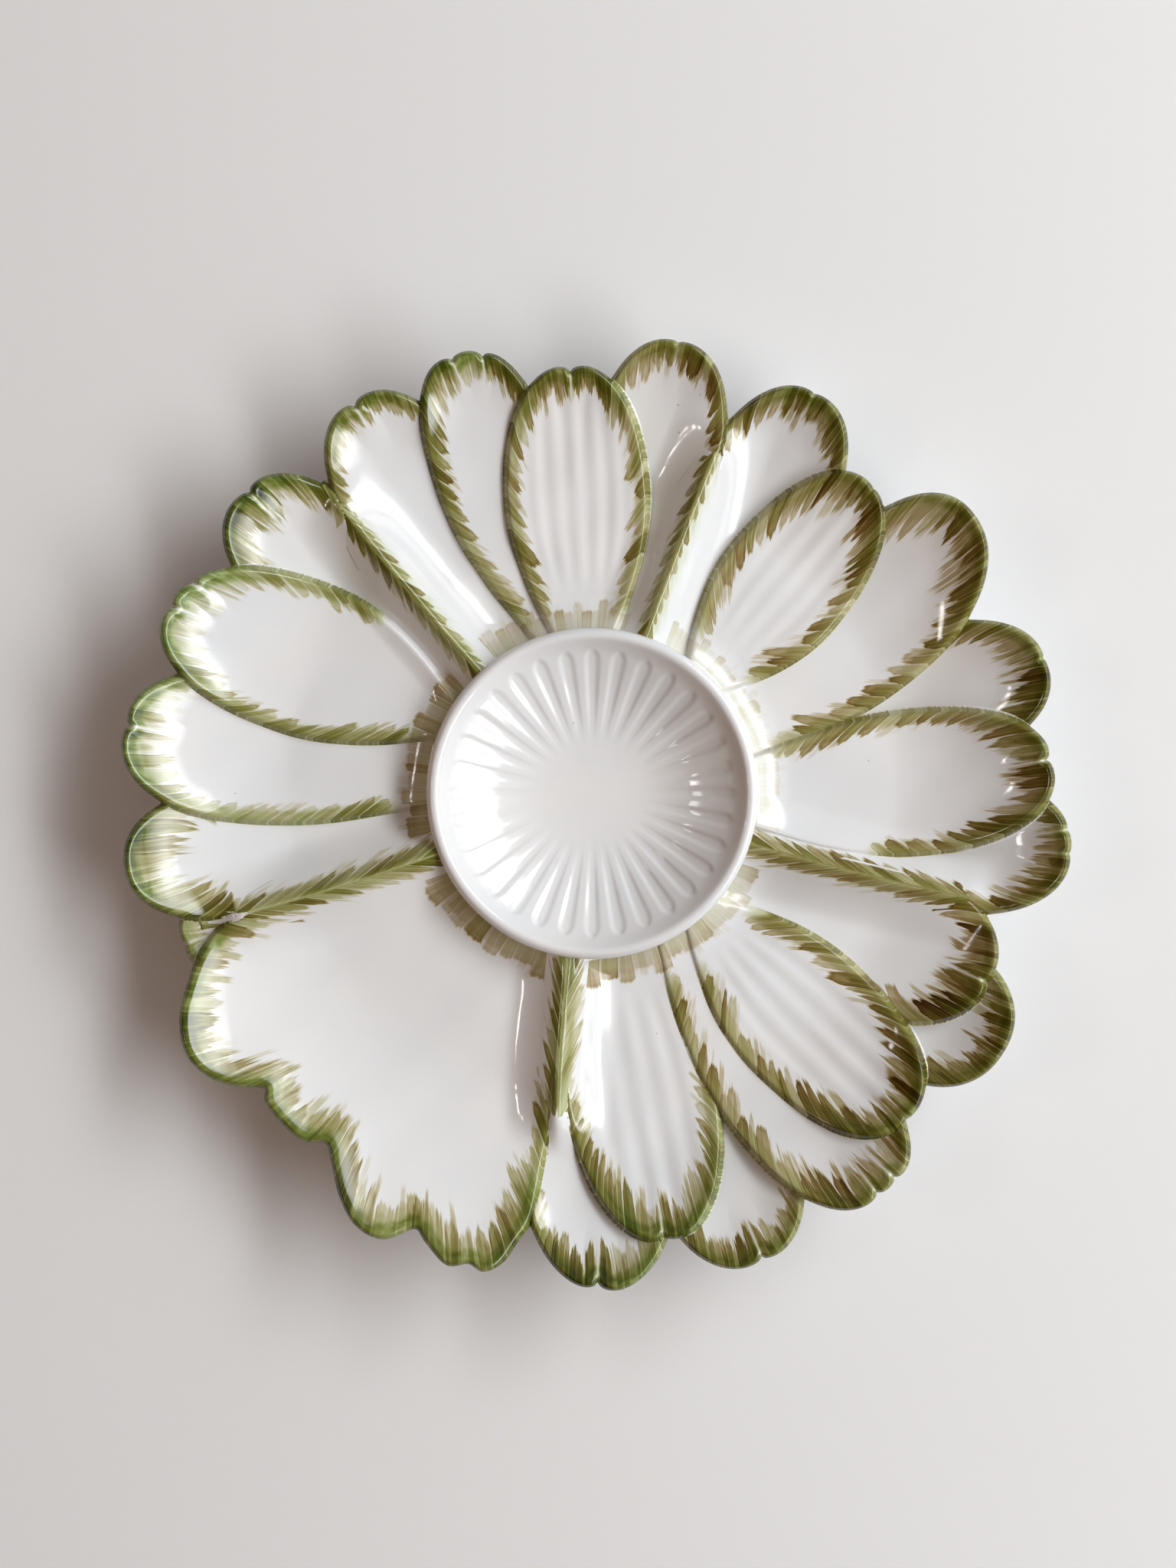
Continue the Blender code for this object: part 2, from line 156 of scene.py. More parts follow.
# Mesh fineness
SIDE_COLUMNS = 60
TIP_COLUMNS = 150
TIP_SAMPLES = 2000
TOP_ROWS = 27
ROW_CROWDING = 1.8
SKIRT_ROWS = 6
RIB_ROWS = 90
RIB_COLUMNS = 33
RIB_END_SAMPLES = 150
# Number of places that are compared with an outline at once
MOST_AT_ONCE = 3000

# Closing of meshes: distances in metres, and what counts as a downward face and a sharp corner
MERGE_DISTANCE = 2e-6
SLIVER = 1e-6
DOWNWARD = -0.7
BASE_CORNER = math.radians(40)

# Brush strokes
SIDE_STROKE_WIDTH = 5.6
TIP_STROKE_WIDTH = 3.8
RIB_STROKE_WIDTH = 5.2
STROKE_LEAN = 1.6
RIB_LEAN = 2.5
# Where the strokes on a side begin: lead and onset round that reach, and the first stroke's share of length
STROKE_LEAD = 2
STROKE_ONSET = 9
FIRST_STROKE = 0.4
CREASE_BARE = 0.95
SEED_STEP = 37.1
SIDE_RAGGED = 0.4
DIP_RAGGED = 0.8
DIP_STROKE_GROWTH = 1.1
RIB_RAGGED = 0.35
# Depth given to points that carry no paint
UNPAINTED = -5

# How far down a place lies where there is nothing, and the least length that counts
FAR = 1e3
TINY = 1e-9


class Leaf(NamedTuple):
    """One leaf. Its spine runs from the root's bearing at the wall to the tip's bearing at reach.

    Its sides begin at the reach named start and spread from root_breadth, at the wall, to breadth at its
    shoulder, where the tip begins. A higher roundness makes a squarer tip. A leaf of a higher layer lies
    on the others. The lip is its share of the turned-up edge.
    """
    name: str
    root: float
    tip: float
    reach: float
    breadth: float
    shoulder: float
    root_breadth: float
    roundness: float
    layer: float
    notches: tuple
    start: float = -3
    lip: float = 1


# The notches of a tip are (distance to the left of its middle, depth)
LEAVES = [
    Leaf("leaf_top_1", 121, 121.3, 81, 38, 54, 18, 2.3, 0, ((0.5, 2),)),
    Leaf("leaf_top_2", 106, 107, 81, 34, 49, 8, 2.6, 1, ((2.1, 1.7), (-6.1, 2.2))),
    Leaf("leaf_top_3", 93, 93, 72.5, 39.5, 40, 18, 2.2, 2, ((0, 2.3),)),
    Leaf("leaf_top_4", 79.5, 79.2, 81, 36, 54, 16, 2.3, 0, ((0, 0.7),)),
    Leaf("leaf_right_1", 60.5, 60.5, 80.5, 37, 54, 14, 2.3, 0, ((1, 0.7),)),
    Leaf("leaf_right_2", 46.3, 48.4, 69, 36, 35, 13, 2.2, 2, ((-2, 0.5),)),
    Leaf("leaf_right_3", 28, 36, 83.5, 42, 52, 24, 2.3, 1, ()),
    Leaf("leaf_right_4", 16, 15.8, 84, 37, 58, 10, 2.3, 0, ((2, 0.7),), 20),
    Leaf("leaf_right_5", 0.5, 3, 81, 39.5, 46, 20, 2.3, 2, ((2.8, 2.2),)),
    Leaf("leaf_right_6", -9, -7.2, 86.5, 38, 60, 12, 2.3, 0, ((0, 0.7), (6.5, 0.9)), 10),
    Leaf("leaf_lower_1", -29, -25, 75.5, 41, 54, 20, 2.1, 1, ((-1, 1.8),)),
    Leaf("leaf_lower_2", -33.5, -32.3, 87, 40, 66, 10, 2.3, 0, (), 42),
    Leaf("leaf_lower_3", -47.5, -46, 78.5, 40.5, 43, 13, 2.4, 2, ((0, 0.5),)),
    Leaf("leaf_lower_4", -58, -54, 89.5, 41, 56, 14, 2.6, 1.5, ((5.3, 2), (-1, 1.8))),
    Leaf("leaf_lower_5", -70.5, -70.5, 90.5, 40, 66, 8, 2.3, 0, ((1.4, 1.7),), 36),
    Leaf("leaf_lower_6", -81.5, -80.3, 79, 42, 44, 24, 2.1, 1, ((-1.2, 2),)),
    Leaf("leaf_lower_7", -90, -88.5, 90.5, 42, 64, 8, 2.0, 0, ((-2, 2.8),), 34),
    Leaf("leaf_left_1", 139.5, 140, 81.5, 37, 56, 16, 2.4, 0, ((-2.8, 2),)),
    Leaf("leaf_left_2", 153, 156.5, 81.5, 42.5, 46, 12, 2.3, 2, ((-1, 1.8), (-9, 1.9))),
    Leaf("leaf_left_3", 172.5, 172.5, 84, 41, 56, 18, 2.3, 1, ((-2, 1.8),)),
    Leaf("leaf_left_4", 189, 189, 84, 36, 58, 22, 2.3, 0, ()),
    Leaf("dip_back_leaf", 200.5, 200.3, 75, 20, 64, 10, 2.8, -1, ((0, 0.7),), 48, 0.2),
]

# The wide leaf of the dip compartment: its free edge as (bearing, reach)
DIP_EDGE = [
    (-98.1, 29), (-97.7, 40), (-97.5, 50), (-97.8, 64), (-98.3, 73), (-99.6, 79),
    (-101, 85), (-102.9, 88), (-104.8, 87), (-107.2, 88.8), (-110.3, 85.2), (-112.3, 83),
    (-115.3, 88.6), (-118.7, 88.6), (-122, 84.4), (-125, 78.6), (-127.3, 75.2), (-130, 78.4),
    (-133.3, 78.6), (-136.5, 77.8), (-138.2, 75.6), (-141, 81.2), (-144, 85), (-147.5, 86),
    (-151.3, 83), (-154.5, 77.5), (-157.9, 70.5), (-160.3, 62), (-159.9, 50), (-159.6, 40),
    (-159.3, 29),
]
DIP_FAN_REACH = 29
DIP_SIDE_REACH = 50
DIP_SCALLOP_REACH = 74
DIP_SCALLOP_UPRIGHT = 0.8
DIP_START = -3
# Bearings of its sides at the wall and at the reach of its sides
DIP_LEFT_SIDE = (-99, -97.5)
DIP_RIGHT_SIDE = (-158.5, -159.9)
DIP_SPINE_BEARING = -129
DIP_LAYER = 1
DIP_EDGE_STEPS = 9
DIP_HALF_BREADTH = 40
DIP_LIP = 0.5


class Rib(NamedTuple):
    """A ridge from the well's rim to the meeting of two leaves: bearings of its ends, and its reach.

    Each flank has strokes of its own length. Green is their share of green, and groove the depth of the
    groove along the crest, from 0 to 1.
    """
    name: str
    root: float
    end: float
    reach: float
    left_stroke: float
    right_stroke: float
    tone: float
    green: float
    groove: float


RIBS = [
    Rib("rib_upper_left", 133, 131.2, 65, 3.6, 2.6, 1, 0.75, 0),
    Rib("rib_upper_right", 71.3, 70, 65, 3.2, 1.7, 0.85, 0.6, 0),
    Rib("rib_right", -17.8, -15.4, 67, 4.2, 4.6, 1.05, 0.4, 0.2),
    Rib("rib_lower", -98.5, -96, 49, 5.4, 4.6, 0.85, 0.75, 1),
    Rib("rib_left", 201.2, 198.8, 62, 4.4, 5.6, 0.85, 0.7, 1),
]


class Brush(NamedTuple):
    """How a leaf's edge is painted: the reach where each side's strokes begin, lengths, tones, green."""
    left_from: float
    right_from: float
    tip_length: float
    side_length: float
    tip_tone: float
    side_tone: float
    green: float


BRUSHES = {
    "leaf_top_1": Brush(58, 72, 6.5, 3.5, 0.6, 0.8, 0.55),
    "leaf_top_2": Brush(3, 44, 8, 5, 1.0, 0.95, 0.6),
    "leaf_top_3": Brush(3, 3, 8, 5, 0.95, 0.85, 0.45),
    "leaf_top_4": Brush(64, 60, 8, 4.5, 0.95, 0.95, 0.25),
    "leaf_right_1": Brush(58, 62, 9.5, 5, 1.2, 1.0, 0.4),
    "leaf_right_2": Brush(6, 7, 9.5, 6, 1.35, 0.8, 0.25),
    "leaf_right_3": Brush(52, 5, 12.5, 6, 1.1, 0.8, 0.3),
    "leaf_right_4": Brush(52, 52, 11.5, 6, 1.15, 1.0, 0.35),
    "leaf_right_5": Brush(4, 32, 10.5, 5, 1.0, 0.8, 0.3),
    "leaf_right_6": Brush(62, 58, 9.5, 5.5, 1.1, 1.0, 0.4),
    "leaf_lower_1": Brush(54, 44, 11, 9, 1.35, 1.25, 0.2),
    "leaf_lower_2": Brush(66, 66, 10, 7, 1.3, 1.2, 0.35),
    "leaf_lower_3": Brush(8, 10, 10, 6.5, 1.25, 0.95, 0.4),
    "leaf_lower_4": Brush(56, 8, 10, 6, 0.92, 0.9, 0.3),
    "leaf_lower_5": Brush(66, 66, 8.5, 5, 1.0, 1.0, 0.4),
    "leaf_lower_6": Brush(31, 33, 10, 6, 0.9, 0.9, 0.6),
    "leaf_lower_7": Brush(64, 64, 10, 5, 1.0, 0.9, 0.65),
    "leaf_left_1": Brush(52, 60, 11.5, 7.5, 1.05, 1.05, 0.75),
    "leaf_left_2": Brush(3, 29, 10, 4.6, 0.32, 0.8, 0.8),
    "leaf_left_3": Brush(8, 52, 11.5, 5, 0.48, 0.75, 0.8),
    "leaf_left_4": Brush(56, 36, 13, 9, 0.75, 1.15, 0.7),
    "dip_back_leaf": Brush(60, 60, 9, 6, 0.3, 0.3, 0.4),
    "dip_leaf": Brush(26, 38, 10, 5, 0.85, 0.9, 0.65),
}
# How much fuller the dip leaf's strokes are at its left end than halfway
DIP_TONE_CHANGE = 0.05

# Number of soft waves across the leaves that have them
FLUTED_LEAVES = {
    "leaf_top_3": 7, "leaf_lower_6": 6, "leaf_right_2": 6, "leaf_lower_3": 6,
}


def smooth_step(value, low, high):
    """Share from 0 at low to 1 at high, level at both ends."""
    share = np.clip((value - low) / (high - low), 0, 1)
    return share * share * (3 - 2 * share)


def smooth_max(first, second, breadth):
    """The higher of two heights, with a fillet where they are less than a breadth apart."""
    overlap = np.maximum(breadth - np.abs(first - second), 0) / breadth
    return np.maximum(first, second) + 0.25 * breadth * overlap**2


def between(first, second, share):
    """Value at a share of the way from one value to another."""
    return first + (second - first) * share


def fall_off(distance, breadth):
    """Share that goes evenly from 1 at no distance to 0 at a breadth."""
    return np.clip(1 - distance / breadth, 0, 1)


def bell(offset, breadth):
    """Share that is 1 at no offset and falls away softly to both sides."""
    return np.exp(-((offset / breadth) ** 2))


def on_plan(bearing, radius):
    """Places (x, y) at bearings and radii from the well's axis."""
    angle = np.radians(bearing)
    return np.stack([radius * np.cos(angle), radius * np.sin(angle)], axis=-1)


def from_axis(places):
    """Radii of places."""
    return np.hypot(places[..., 0], places[..., 1])


def left_of(bearing, places):
    """Distance of places to the left of a bearing, round the well."""
    turn = np.degrees(np.arctan2(places[:, 1], places[:, 0])) - bearing
    return from_axis(places) * np.radians((turn + 180) % 360 - 180)


def smooth_path(points, steps):
    """Points of a curve that passes through every given point."""
    points = np.array(points, float)
    before = np.concatenate([points[:1], points[:-2]])
    after = np.concatenate([points[2:], points[-1:]])
    share = np.arange(steps)[:, None] / steps
    curve = []
    for p0, p1, p2, p3 in zip(before, points[:-1], points[1:], after):
        bend = 2 * p0 - 5 * p1 + 4 * p2 - p3
        twist = -p0 + 3 * p1 - 3 * p2 + p3
        curve.append(p1 + 0.5 * share * (p2 - p0 + share * (bend + share * twist)))
    return np.concatenate(curve + [points[-1:]])


class Blade(NamedTuple):
    """A leaf's outline in columns from its left root round the tip to its right root.

    Spine holds each column's place on the leaf's spine. Side goes from 1 on the left to -1 on the right,
    tip_share from 0 on the sides to 1 on the tip, and crease to 1 in a notch. The dip leaf has no Leaf.
    """
    name: str
    order: int
    layer: float
    edge: np.ndarray
    spine: np.ndarray
    side: np.ndarray
    tip_share: np.ndarray
    crease: np.ndarray
    leaf: Leaf | None


def spine_bearing(leaf, radius):
    """Bearing of a leaf's spine."""
    return leaf.root + (leaf.tip - leaf.root) * (radius - WELL_RADIUS) / leaf.reach


def side_half_breadth(leaf, share):
    """Half of a leaf's breadth at a share of the way to its shoulders."""
    return 0.5 * between(leaf.root_breadth, leaf.breadth, np.sin(0.5 * np.pi * share))


def half_breadth(blade, radius):
    """Half of a leaf's breadth where its sides are, at most that of its shoulders."""
    leaf = blade.leaf
    if leaf is None:
        return np.full_like(radius, DIP_HALF_BREADTH)
    return side_half_breadth(leaf, np.clip((radius - WELL_RADIUS) / leaf.shoulder, 0, 1))


def tip_offset(leaf, turn):
    """Distance to the left of a tip's middle at angles round the tip."""
    across = np.cos(turn)
    return 0.5 * leaf.breadth * np.sign(across) * np.abs(across) ** (2 / leaf.roundness)


def tip_turns(leaf):
    """Angles of the columns round a tip, closer together at its notches."""
    turn = np.linspace(0, np.pi, TIP_SAMPLES)
    offset = tip_offset(leaf, turn)
    crowding = np.ones(len(turn))
    for place, _ in leaf.notches:
        crowding += NOTCH_CROWDING * bell(offset - place, NOTCH_BREADTH)
    share = np.cumsum(crowding)
    return np.interp(np.linspace(share[0], share[-1], TIP_COLUMNS), share, turn)


def whole_blade(name, order, layer, leaf, outline, spine, values):
    """Joins a leaf's left side, its tip, and its right side, which runs back to the root."""
    left, tip, right = outline
    spine_side, fan = spine
    towards, tip_share, crease = values
    zeros = np.zeros(len(left))
    ones = np.ones(len(left))
    return Blade(
        name, order, layer,
        np.concatenate([left, tip, right[::-1]]),
        np.concatenate([spine_side, np.tile(fan, (len(tip), 1)), spine_side[::-1]]),
        np.concatenate([ones, towards, -ones]),
        np.concatenate([zeros, tip_share, zeros]),
        np.concatenate([zeros, crease, zeros]),
        leaf,
    )


def leaf_blade(leaf, order):
    """Outline of a leaf, worked out from its sizes."""
    shoulder = WELL_RADIUS + leaf.shoulder
    radii = np.linspace(WELL_RADIUS + leaf.start, shoulder, SIDE_COLUMNS, endpoint=False)
    half = side_half_breadth(leaf, (radii - WELL_RADIUS) / leaf.shoulder)
    middle = spine_bearing(leaf, radii)
    aside = np.degrees(half / radii)

    turn = tip_turns(leaf)
    out = np.sin(turn)
    out[-1] = 0
    offset = tip_offset(leaf, turn)
    notch = np.zeros(TIP_COLUMNS)
    crease = np.zeros(TIP_COLUMNS)
    for place, depth in leaf.notches:
        beside = np.abs(offset - place)
        slit = SLIT_SHARE * bell(beside, SLIT_BREADTH)
        notch += depth * (NOTCH_SHARE * np.exp(-beside / NOTCH_BREADTH) + slit)
        crease += min(depth, 1) * bell(beside, CREASE_BREADTH)
    tip_radius = shoulder + (leaf.reach - leaf.shoulder) * out ** (2 / leaf.roundness) - notch
    tip_bearing = spine_bearing(leaf, tip_radius) + np.degrees(offset / tip_radius)
    return whole_blade(
        leaf.name, order, leaf.layer, leaf,
        [on_plan(middle + aside, radii), on_plan(tip_bearing, tip_radius), on_plan(middle - aside, radii)],
        [on_plan(middle, radii), on_plan(spine_bearing(leaf, shoulder), shoulder)],
        [np.cos(turn), out, crease],
    )


def dip_blade(order):
    """Outline of the dip leaf, whose scalloped edge is given point by point."""
    shoulder = WELL_RADIUS + DIP_FAN_REACH
    radii = np.linspace(WELL_RADIUS + DIP_START, shoulder, SIDE_COLUMNS, endpoint=False)
    share = (radii - WELL_RADIUS) / DIP_SIDE_REACH
    left = between(*DIP_LEFT_SIDE, share)
    right = between(*DIP_RIGHT_SIDE, share)
    free = smooth_path(DIP_EDGE, DIP_EDGE_STEPS)
    scalloped = smooth_step(free[:, 1], DIP_SIDE_REACH, DIP_SCALLOP_REACH)
    towards = np.linspace(1, -1, len(free)) * (1 - DIP_SCALLOP_UPRIGHT * scalloped)
    return whole_blade(
        "dip_leaf", order, DIP_LAYER, None,
        [on_plan(left, radii), on_plan(free[:, 0], WELL_RADIUS + free[:, 1]), on_plan(right, radii)],
        [on_plan(np.full_like(radii, DIP_SPINE_BEARING), radii), on_plan(DIP_SPINE_BEARING, shoulder)],
        [towards, scalloped, np.zeros(len(free))],
    )


def all_blades():
    """Every leaf, the uppermost first."""
    blades = [dip_blade(0)]
    for leaf in sorted(LEAVES, key=lambda leaf: -leaf.layer):
        blades.append(leaf_blade(leaf, len(blades)))
    return blades


def depth_inside(blade, places):
    """Distance from each place to a blade's edge: above zero inside it, below zero outside."""
    depth = np.full(len(places), -FAR)
    margin = 2 * STEP_SPREAD
    low = blade.edge.min(axis=0) - margin
    high = blade.edge.max(axis=0) + margin
    near = np.flatnonzero(np.all((places > low) & (places < high), axis=1))
    start = blade.edge
    end = np.roll(blade.edge, -1, axis=0)
    along = end - start
    length = np.maximum((along**2).sum(axis=1), TINY**2)
    for part in np.array_split(near, 1 + len(near) // MOST_AT_ONCE):
        x = places[part, 0][:, None]
        y = places[part, 1][:, None]
        share = ((x - start[:, 0]) * along[:, 0] + (y - start[:, 1]) * along[:, 1]) / length
        share = np.clip(share, 0, 1)
        gap_x = x - start[:, 0] - share * along[:, 0]
        gap_y = y - start[:, 1] - share * along[:, 1]
        # The last stretch closes the outline at the root and is no painted edge
        distance = np.sqrt((gap_x**2 + gap_y**2)[:, :-1].min(axis=1))
        crosses = (start[:, 1] > y) != (end[:, 1] > y)
        rise = np.where(np.abs(along[:, 1]) < TINY, TINY, along[:, 1])
        cut = start[:, 0] + (y - start[:, 1]) * along[:, 0] / rise
        inside = (crosses & (x < cut)).sum(axis=1) % 2 == 1
        depth[part] = np.where(inside, distance, -distance)
    return depth


def dish(radius):
    """Height of the dish's underside, which turns up towards the tips."""
    turn = np.maximum(0, radius - WELL_RADIUS - FLOOR_REACH) / (TURN_UP_REACH - FLOOR_REACH)
    return UNDERSIDE + TURN_UP_HEIGHT * turn**TURN_UP_CURVE


def underside(blade, places):
    """Height of a leaf's underside: one flat base, and an even wall further out."""
    radius = from_axis(places)
    even = smooth_step(radius - WELL_RADIUS, EVEN_WALL_START, EVEN_WALL_REACH)
    return dish(radius) + even * LAYER_STEP * blade.layer + BASE_STEP * (blade.order + 1)


def well_sweep(radius):
    """Rise of the leaves' roots towards the well's wall."""
    return WELL_SWEEP_RISE * fall_off(radius - WELL_RADIUS, WELL_SWEEP_BREADTH) ** 2


def rib_crest(rib, radius):
    """Bearing of a rib's crest."""
    return rib.root + (rib.end - rib.root) * (radius - WELL_RADIUS) / rib.reach


def rib_flank(rib, aside, radius):
    """Share of a rib's rise: 1 on its crest, 0 at the foot of its flanks and past its end."""
    slope = fall_off(np.hypot(aside, RIB_ROUND) - RIB_ROUND, RIB_FLANK)
    fade_start = WELL_RADIUS + rib.reach - RIB_FADE_INSIDE * RIB_FADE
    return slope**RIB_FLANK_CURVE * (1 - smooth_step(radius, fade_start, fade_start + RIB_FADE))


def rib_swell(places, radius):
    """Share of the rise of the rib that is highest at each place."""
    share = np.zeros(len(places))
    for rib in RIBS:
        share = np.maximum(share, rib_flank(rib, left_of(rib_crest(rib, radius), places), radius))
    return share


def soft_waves(blade, places, radius, depth):
    """Shallow flutes along some leaves, and the unevenness of a form pressed by hand."""
    shift = HAND_WAVE_SHIFT * blade.order
    x = places[:, 0]
    y = places[:, 1]
    slanted = HAND_WAVE_SLANTED_SHARE * np.sin((x - y) / HAND_WAVE_SLANTED + shift)
    height = HAND_WAVE * (np.sin(x / HAND_WAVE_X + shift) * np.sin(y / HAND_WAVE_Y - 2 * shift) + slanted)
    waves = FLUTED_LEAVES.get(blade.name)
    if waves:
        across = left_of(spine_bearing(blade.leaf, radius), places) / half_breadth(blade, radius)
        within = smooth_step(depth, *FLUTE_EDGE) * smooth_step(radius - WELL_RADIUS, *FLUTE_ROOT)
        height += FLUTE_WAVE * within * np.cos(np.pi * waves * across)
    return height


def leaf_height(blade, places, depth, slope=RIM_SLOPE):
    """Height of a leaf's upper surface, its lip and its edge."""
    radius = from_axis(places)
    level = dish(radius) + WALL + LAYER_STEP * blade.layer
    swell = rib_swell(places, radius)
    breadth = np.minimum(LIP_BREADTH, LIP_SHARE * half_breadth(blade, radius))
    lip = LIP_RISE * breadth / LIP_BREADTH * fall_off(depth, breadth) ** 2
    lip -= EDGE_ROLL * fall_off(depth, EDGE_ROLL_BREADTH) ** 2
    lip *= (1 - swell) ** 2 * (DIP_LIP if blade.leaf is None else blade.leaf.lip)
    at_tip = smooth_step(radius - WELL_RADIUS, LIP_SIDE_REACH, LIP_TIP_REACH)
    lip *= between(LIP_ON_SIDES, 1, at_tip)
    fall = slope * EDGE_SOFTNESS * np.logaddexp(0, -depth / EDGE_SOFTNESS)
    rise = np.maximum(0, RIB_CREST - level) * swell + well_sweep(radius) * (1 - swell)
    return level + rise + lip - fall + soft_waves(blade, places, radius, depth)


def highest(blades, places, reach=0.0):
    """Height of the uppermost of some leaves at each place, far below where there is none."""
    height = np.full(len(places), -FAR)
    for blade in blades:
        depth = depth_inside(blade, places)
        there = np.flatnonzero(depth > -reach)
        if len(there):
            found = leaf_height(blade, places[there], depth[there])
            height[there] = np.maximum(height[there], found)
    return height


def outward(edge):
    """Unit vectors on the plan that point out of an outline."""
    along = np.gradient(edge, axis=0)
    along /= np.maximum(np.hypot(along[:, 0], along[:, 1]), TINY)[:, None]
    return np.stack([-along[:, 1], along[:, 0]], axis=1)


def lay_under(uppers, places, height):
    """Lowers a leaf's surface where other leaves lie on it."""
    for upper in uppers:
        depth = depth_inside(upper, places)
        there = np.flatnonzero(depth > COVERED)
        if len(there):
            cover = leaf_height(upper, places[there], depth[there]) - COVERED_SINK
            height[there] = np.minimum(height[there], cover)
    return height


class Rim(NamedTuple):
    """A leaf's edge: directions out of it, where no leaf lies beyond it (sharp and softened), its slope."""
    normal: np.ndarray
    free: np.ndarray
    soft: np.ndarray
    slope: np.ndarray


def leaf_rim(blade, others):
    """Finds where a leaf's edge is a free rim and where it lies on another leaf."""
    normal = outward(blade.edge)
    free = highest(others, blade.edge + EDGE_PROBE * normal) < 0
    blur = np.full(EDGE_BLUR, 1 / EDGE_BLUR)
    soft = np.convolve(np.pad(free.astype(float), EDGE_BLUR // 2, mode="edge"), blur, mode="valid")
    return Rim(normal, free, soft, between(STEP_SLOPE, RIM_SLOPE, soft))


def top_rows(blade, rim, uppers):
    """Rows of a leaf's upper side from its spine to its edge, each with its depth inside the edge."""
    for share in np.linspace(1, 0, TOP_ROWS) ** ROW_CROWDING:
        places = between(blade.edge, blade.spine, share)
        depth = np.zeros(len(places)) if share == 0 else np.maximum(depth_inside(blade, places), 0)
        height = leaf_height(blade, places, depth, rim.slope)
        height -= CREASE_DEPTH * blade.crease * fall_off(depth, CREASE_LENGTH)
        yield np.column_stack([places, lay_under(uppers, places, height)]), depth


def skirt_rows(blade, rim, uppers, lowers, top):
    """Rows down a leaf's edge: rounded on a free rim, a step where the edge lies on another leaf."""
    for share in np.linspace(0, 1, SKIRT_ROWS + 1)[1:]:
        rounded = RIM_SPREAD * math.sin(RIM_TUCK * math.pi * share)
        spread = rounded * rim.soft + STEP_SPREAD * share * (1 - rim.soft)
        places = blade.edge + rim.normal * spread[:, None]
        base = underside(blade, places)
        stepped = np.maximum(leaf_height(blade, places, -spread, rim.slope), base)
        below = highest(lowers, places)
        laid = smooth_max(stepped, below - STEP_SINK * share, STEP_FILLET)
        fallen = between(top, base, 0.5 - 0.5 * math.cos(math.pi * share))
        height = np.where(below > 0, laid, np.where(rim.free, fallen, stepped))
        depth = -share * (RIM_PAINT * rim.soft + STEP_SPREAD * (1 - rim.soft))
        yield np.column_stack([places, lay_under(uppers, places, height)]), depth


def base_rows(blade, edge):
    """Rows of a leaf's unpainted underside from its edge back to its spine."""
    for share in BASE_ROWS:
        places = between(edge, blade.spine, share)
        yield np.column_stack([places, underside(blade, places)]), np.full(len(places), -FAR)


def leaf_rows(blade, blades):
    """Grid of a leaf's shell, spine to edge on top and back to the spine below, and its depths."""
    uppers = blades[:blade.order]
    lowers = blades[blade.order + 1:]
    rim = leaf_rim(blade, uppers + lowers)
    rows = list(top_rows(blade, rim, uppers))
    rows += skirt_rows(blade, rim, uppers, lowers, rows[-1][0][:, 2])
    rows += base_rows(blade, rows[-1][0][:, :2])
    grid, depths = zip(*rows)
    return np.array(grid), np.array(depths)


def leaf_strokes(blade, brush, depths):
    """Attributes: count of strokes, depth and raggedness; length, tone and green; slant of the ends."""
    edge_reach = from_axis(blade.edge) - WELL_RADIUS
    begins = np.where(blade.side >= 0, brush.left_from, brush.right_from)
    onset = smooth_step(edge_reach, begins - STROKE_LEAD, begins + STROKE_ONSET)
    onset = np.where(blade.tip_share > 0, 1, onset)
    tip = blade.tip_share**2
    width = between(SIDE_STROKE_WIDTH, TIP_STROKE_WIDTH, blade.tip_share)
    ragged = between(SIDE_RAGGED, 1, tip)
    length = between(brush.side_length, brush.tip_length, tip)
    tone = between(brush.side_tone, brush.tip_tone, tip) * onset * (1 - CREASE_BARE * blade.crease)
    if blade.leaf is None:
        width += DIP_STROKE_GROWTH * blade.tip_share
        ragged = np.minimum(ragged, DIP_RAGGED)
        tone *= 1 + DIP_TONE_CHANGE * np.linspace(1, -1, len(tone))

    rows = len(depths)
    step = np.hypot(*np.diff(blade.edge, axis=0).T)
    count = np.concatenate([[0], np.cumsum(step / (0.5 * (width[1:] + width[:-1])))])
    inside = np.maximum(depths, 0)
    lean = STROKE_LEAN * blade.side * np.abs(blade.side)
    stroke = np.stack([
        count + lean * inside / width + SEED_STEP * blade.order,
        np.maximum(depths, UNPAINTED),
        np.tile(ragged, (rows, 1)),
    ], axis=-1)
    paint = np.stack([
        np.tile(length * between(FIRST_STROKE, 1, onset), (rows, 1)),
        np.where(depths > UNPAINTED, tone, 0),
        np.full_like(depths, brush.green),
    ], axis=-1)
    slant = np.tile(end_slant(lean, width, length), (rows, 1))
    return {"stroke": stroke, "paint": paint, "slant": slant}


def end_slant(lean, width, length):
    """How much further a leaning stroke reaches on one side, so that its end is square to it."""
    return lean / (1 + lean**2) * width / length


def rib_cap_end(rib, blades):
    """Radius where a rib's cap runs out, short of the notch between the leaves."""
    outermost = WELL_RADIUS + rib.reach + 0.5 * RIB_FADE
    radii = np.linspace(WELL_RADIUS + RIB_END_SEARCH * rib.reach, outermost, RIB_END_SAMPLES)
    bare = np.flatnonzero(highest(blades, on_plan(rib_crest(rib, radii), radii), RIB_END_REACH) < 0)
    return radii[bare[0]] - RIB_END_GAP if len(bare) else radii[-1]


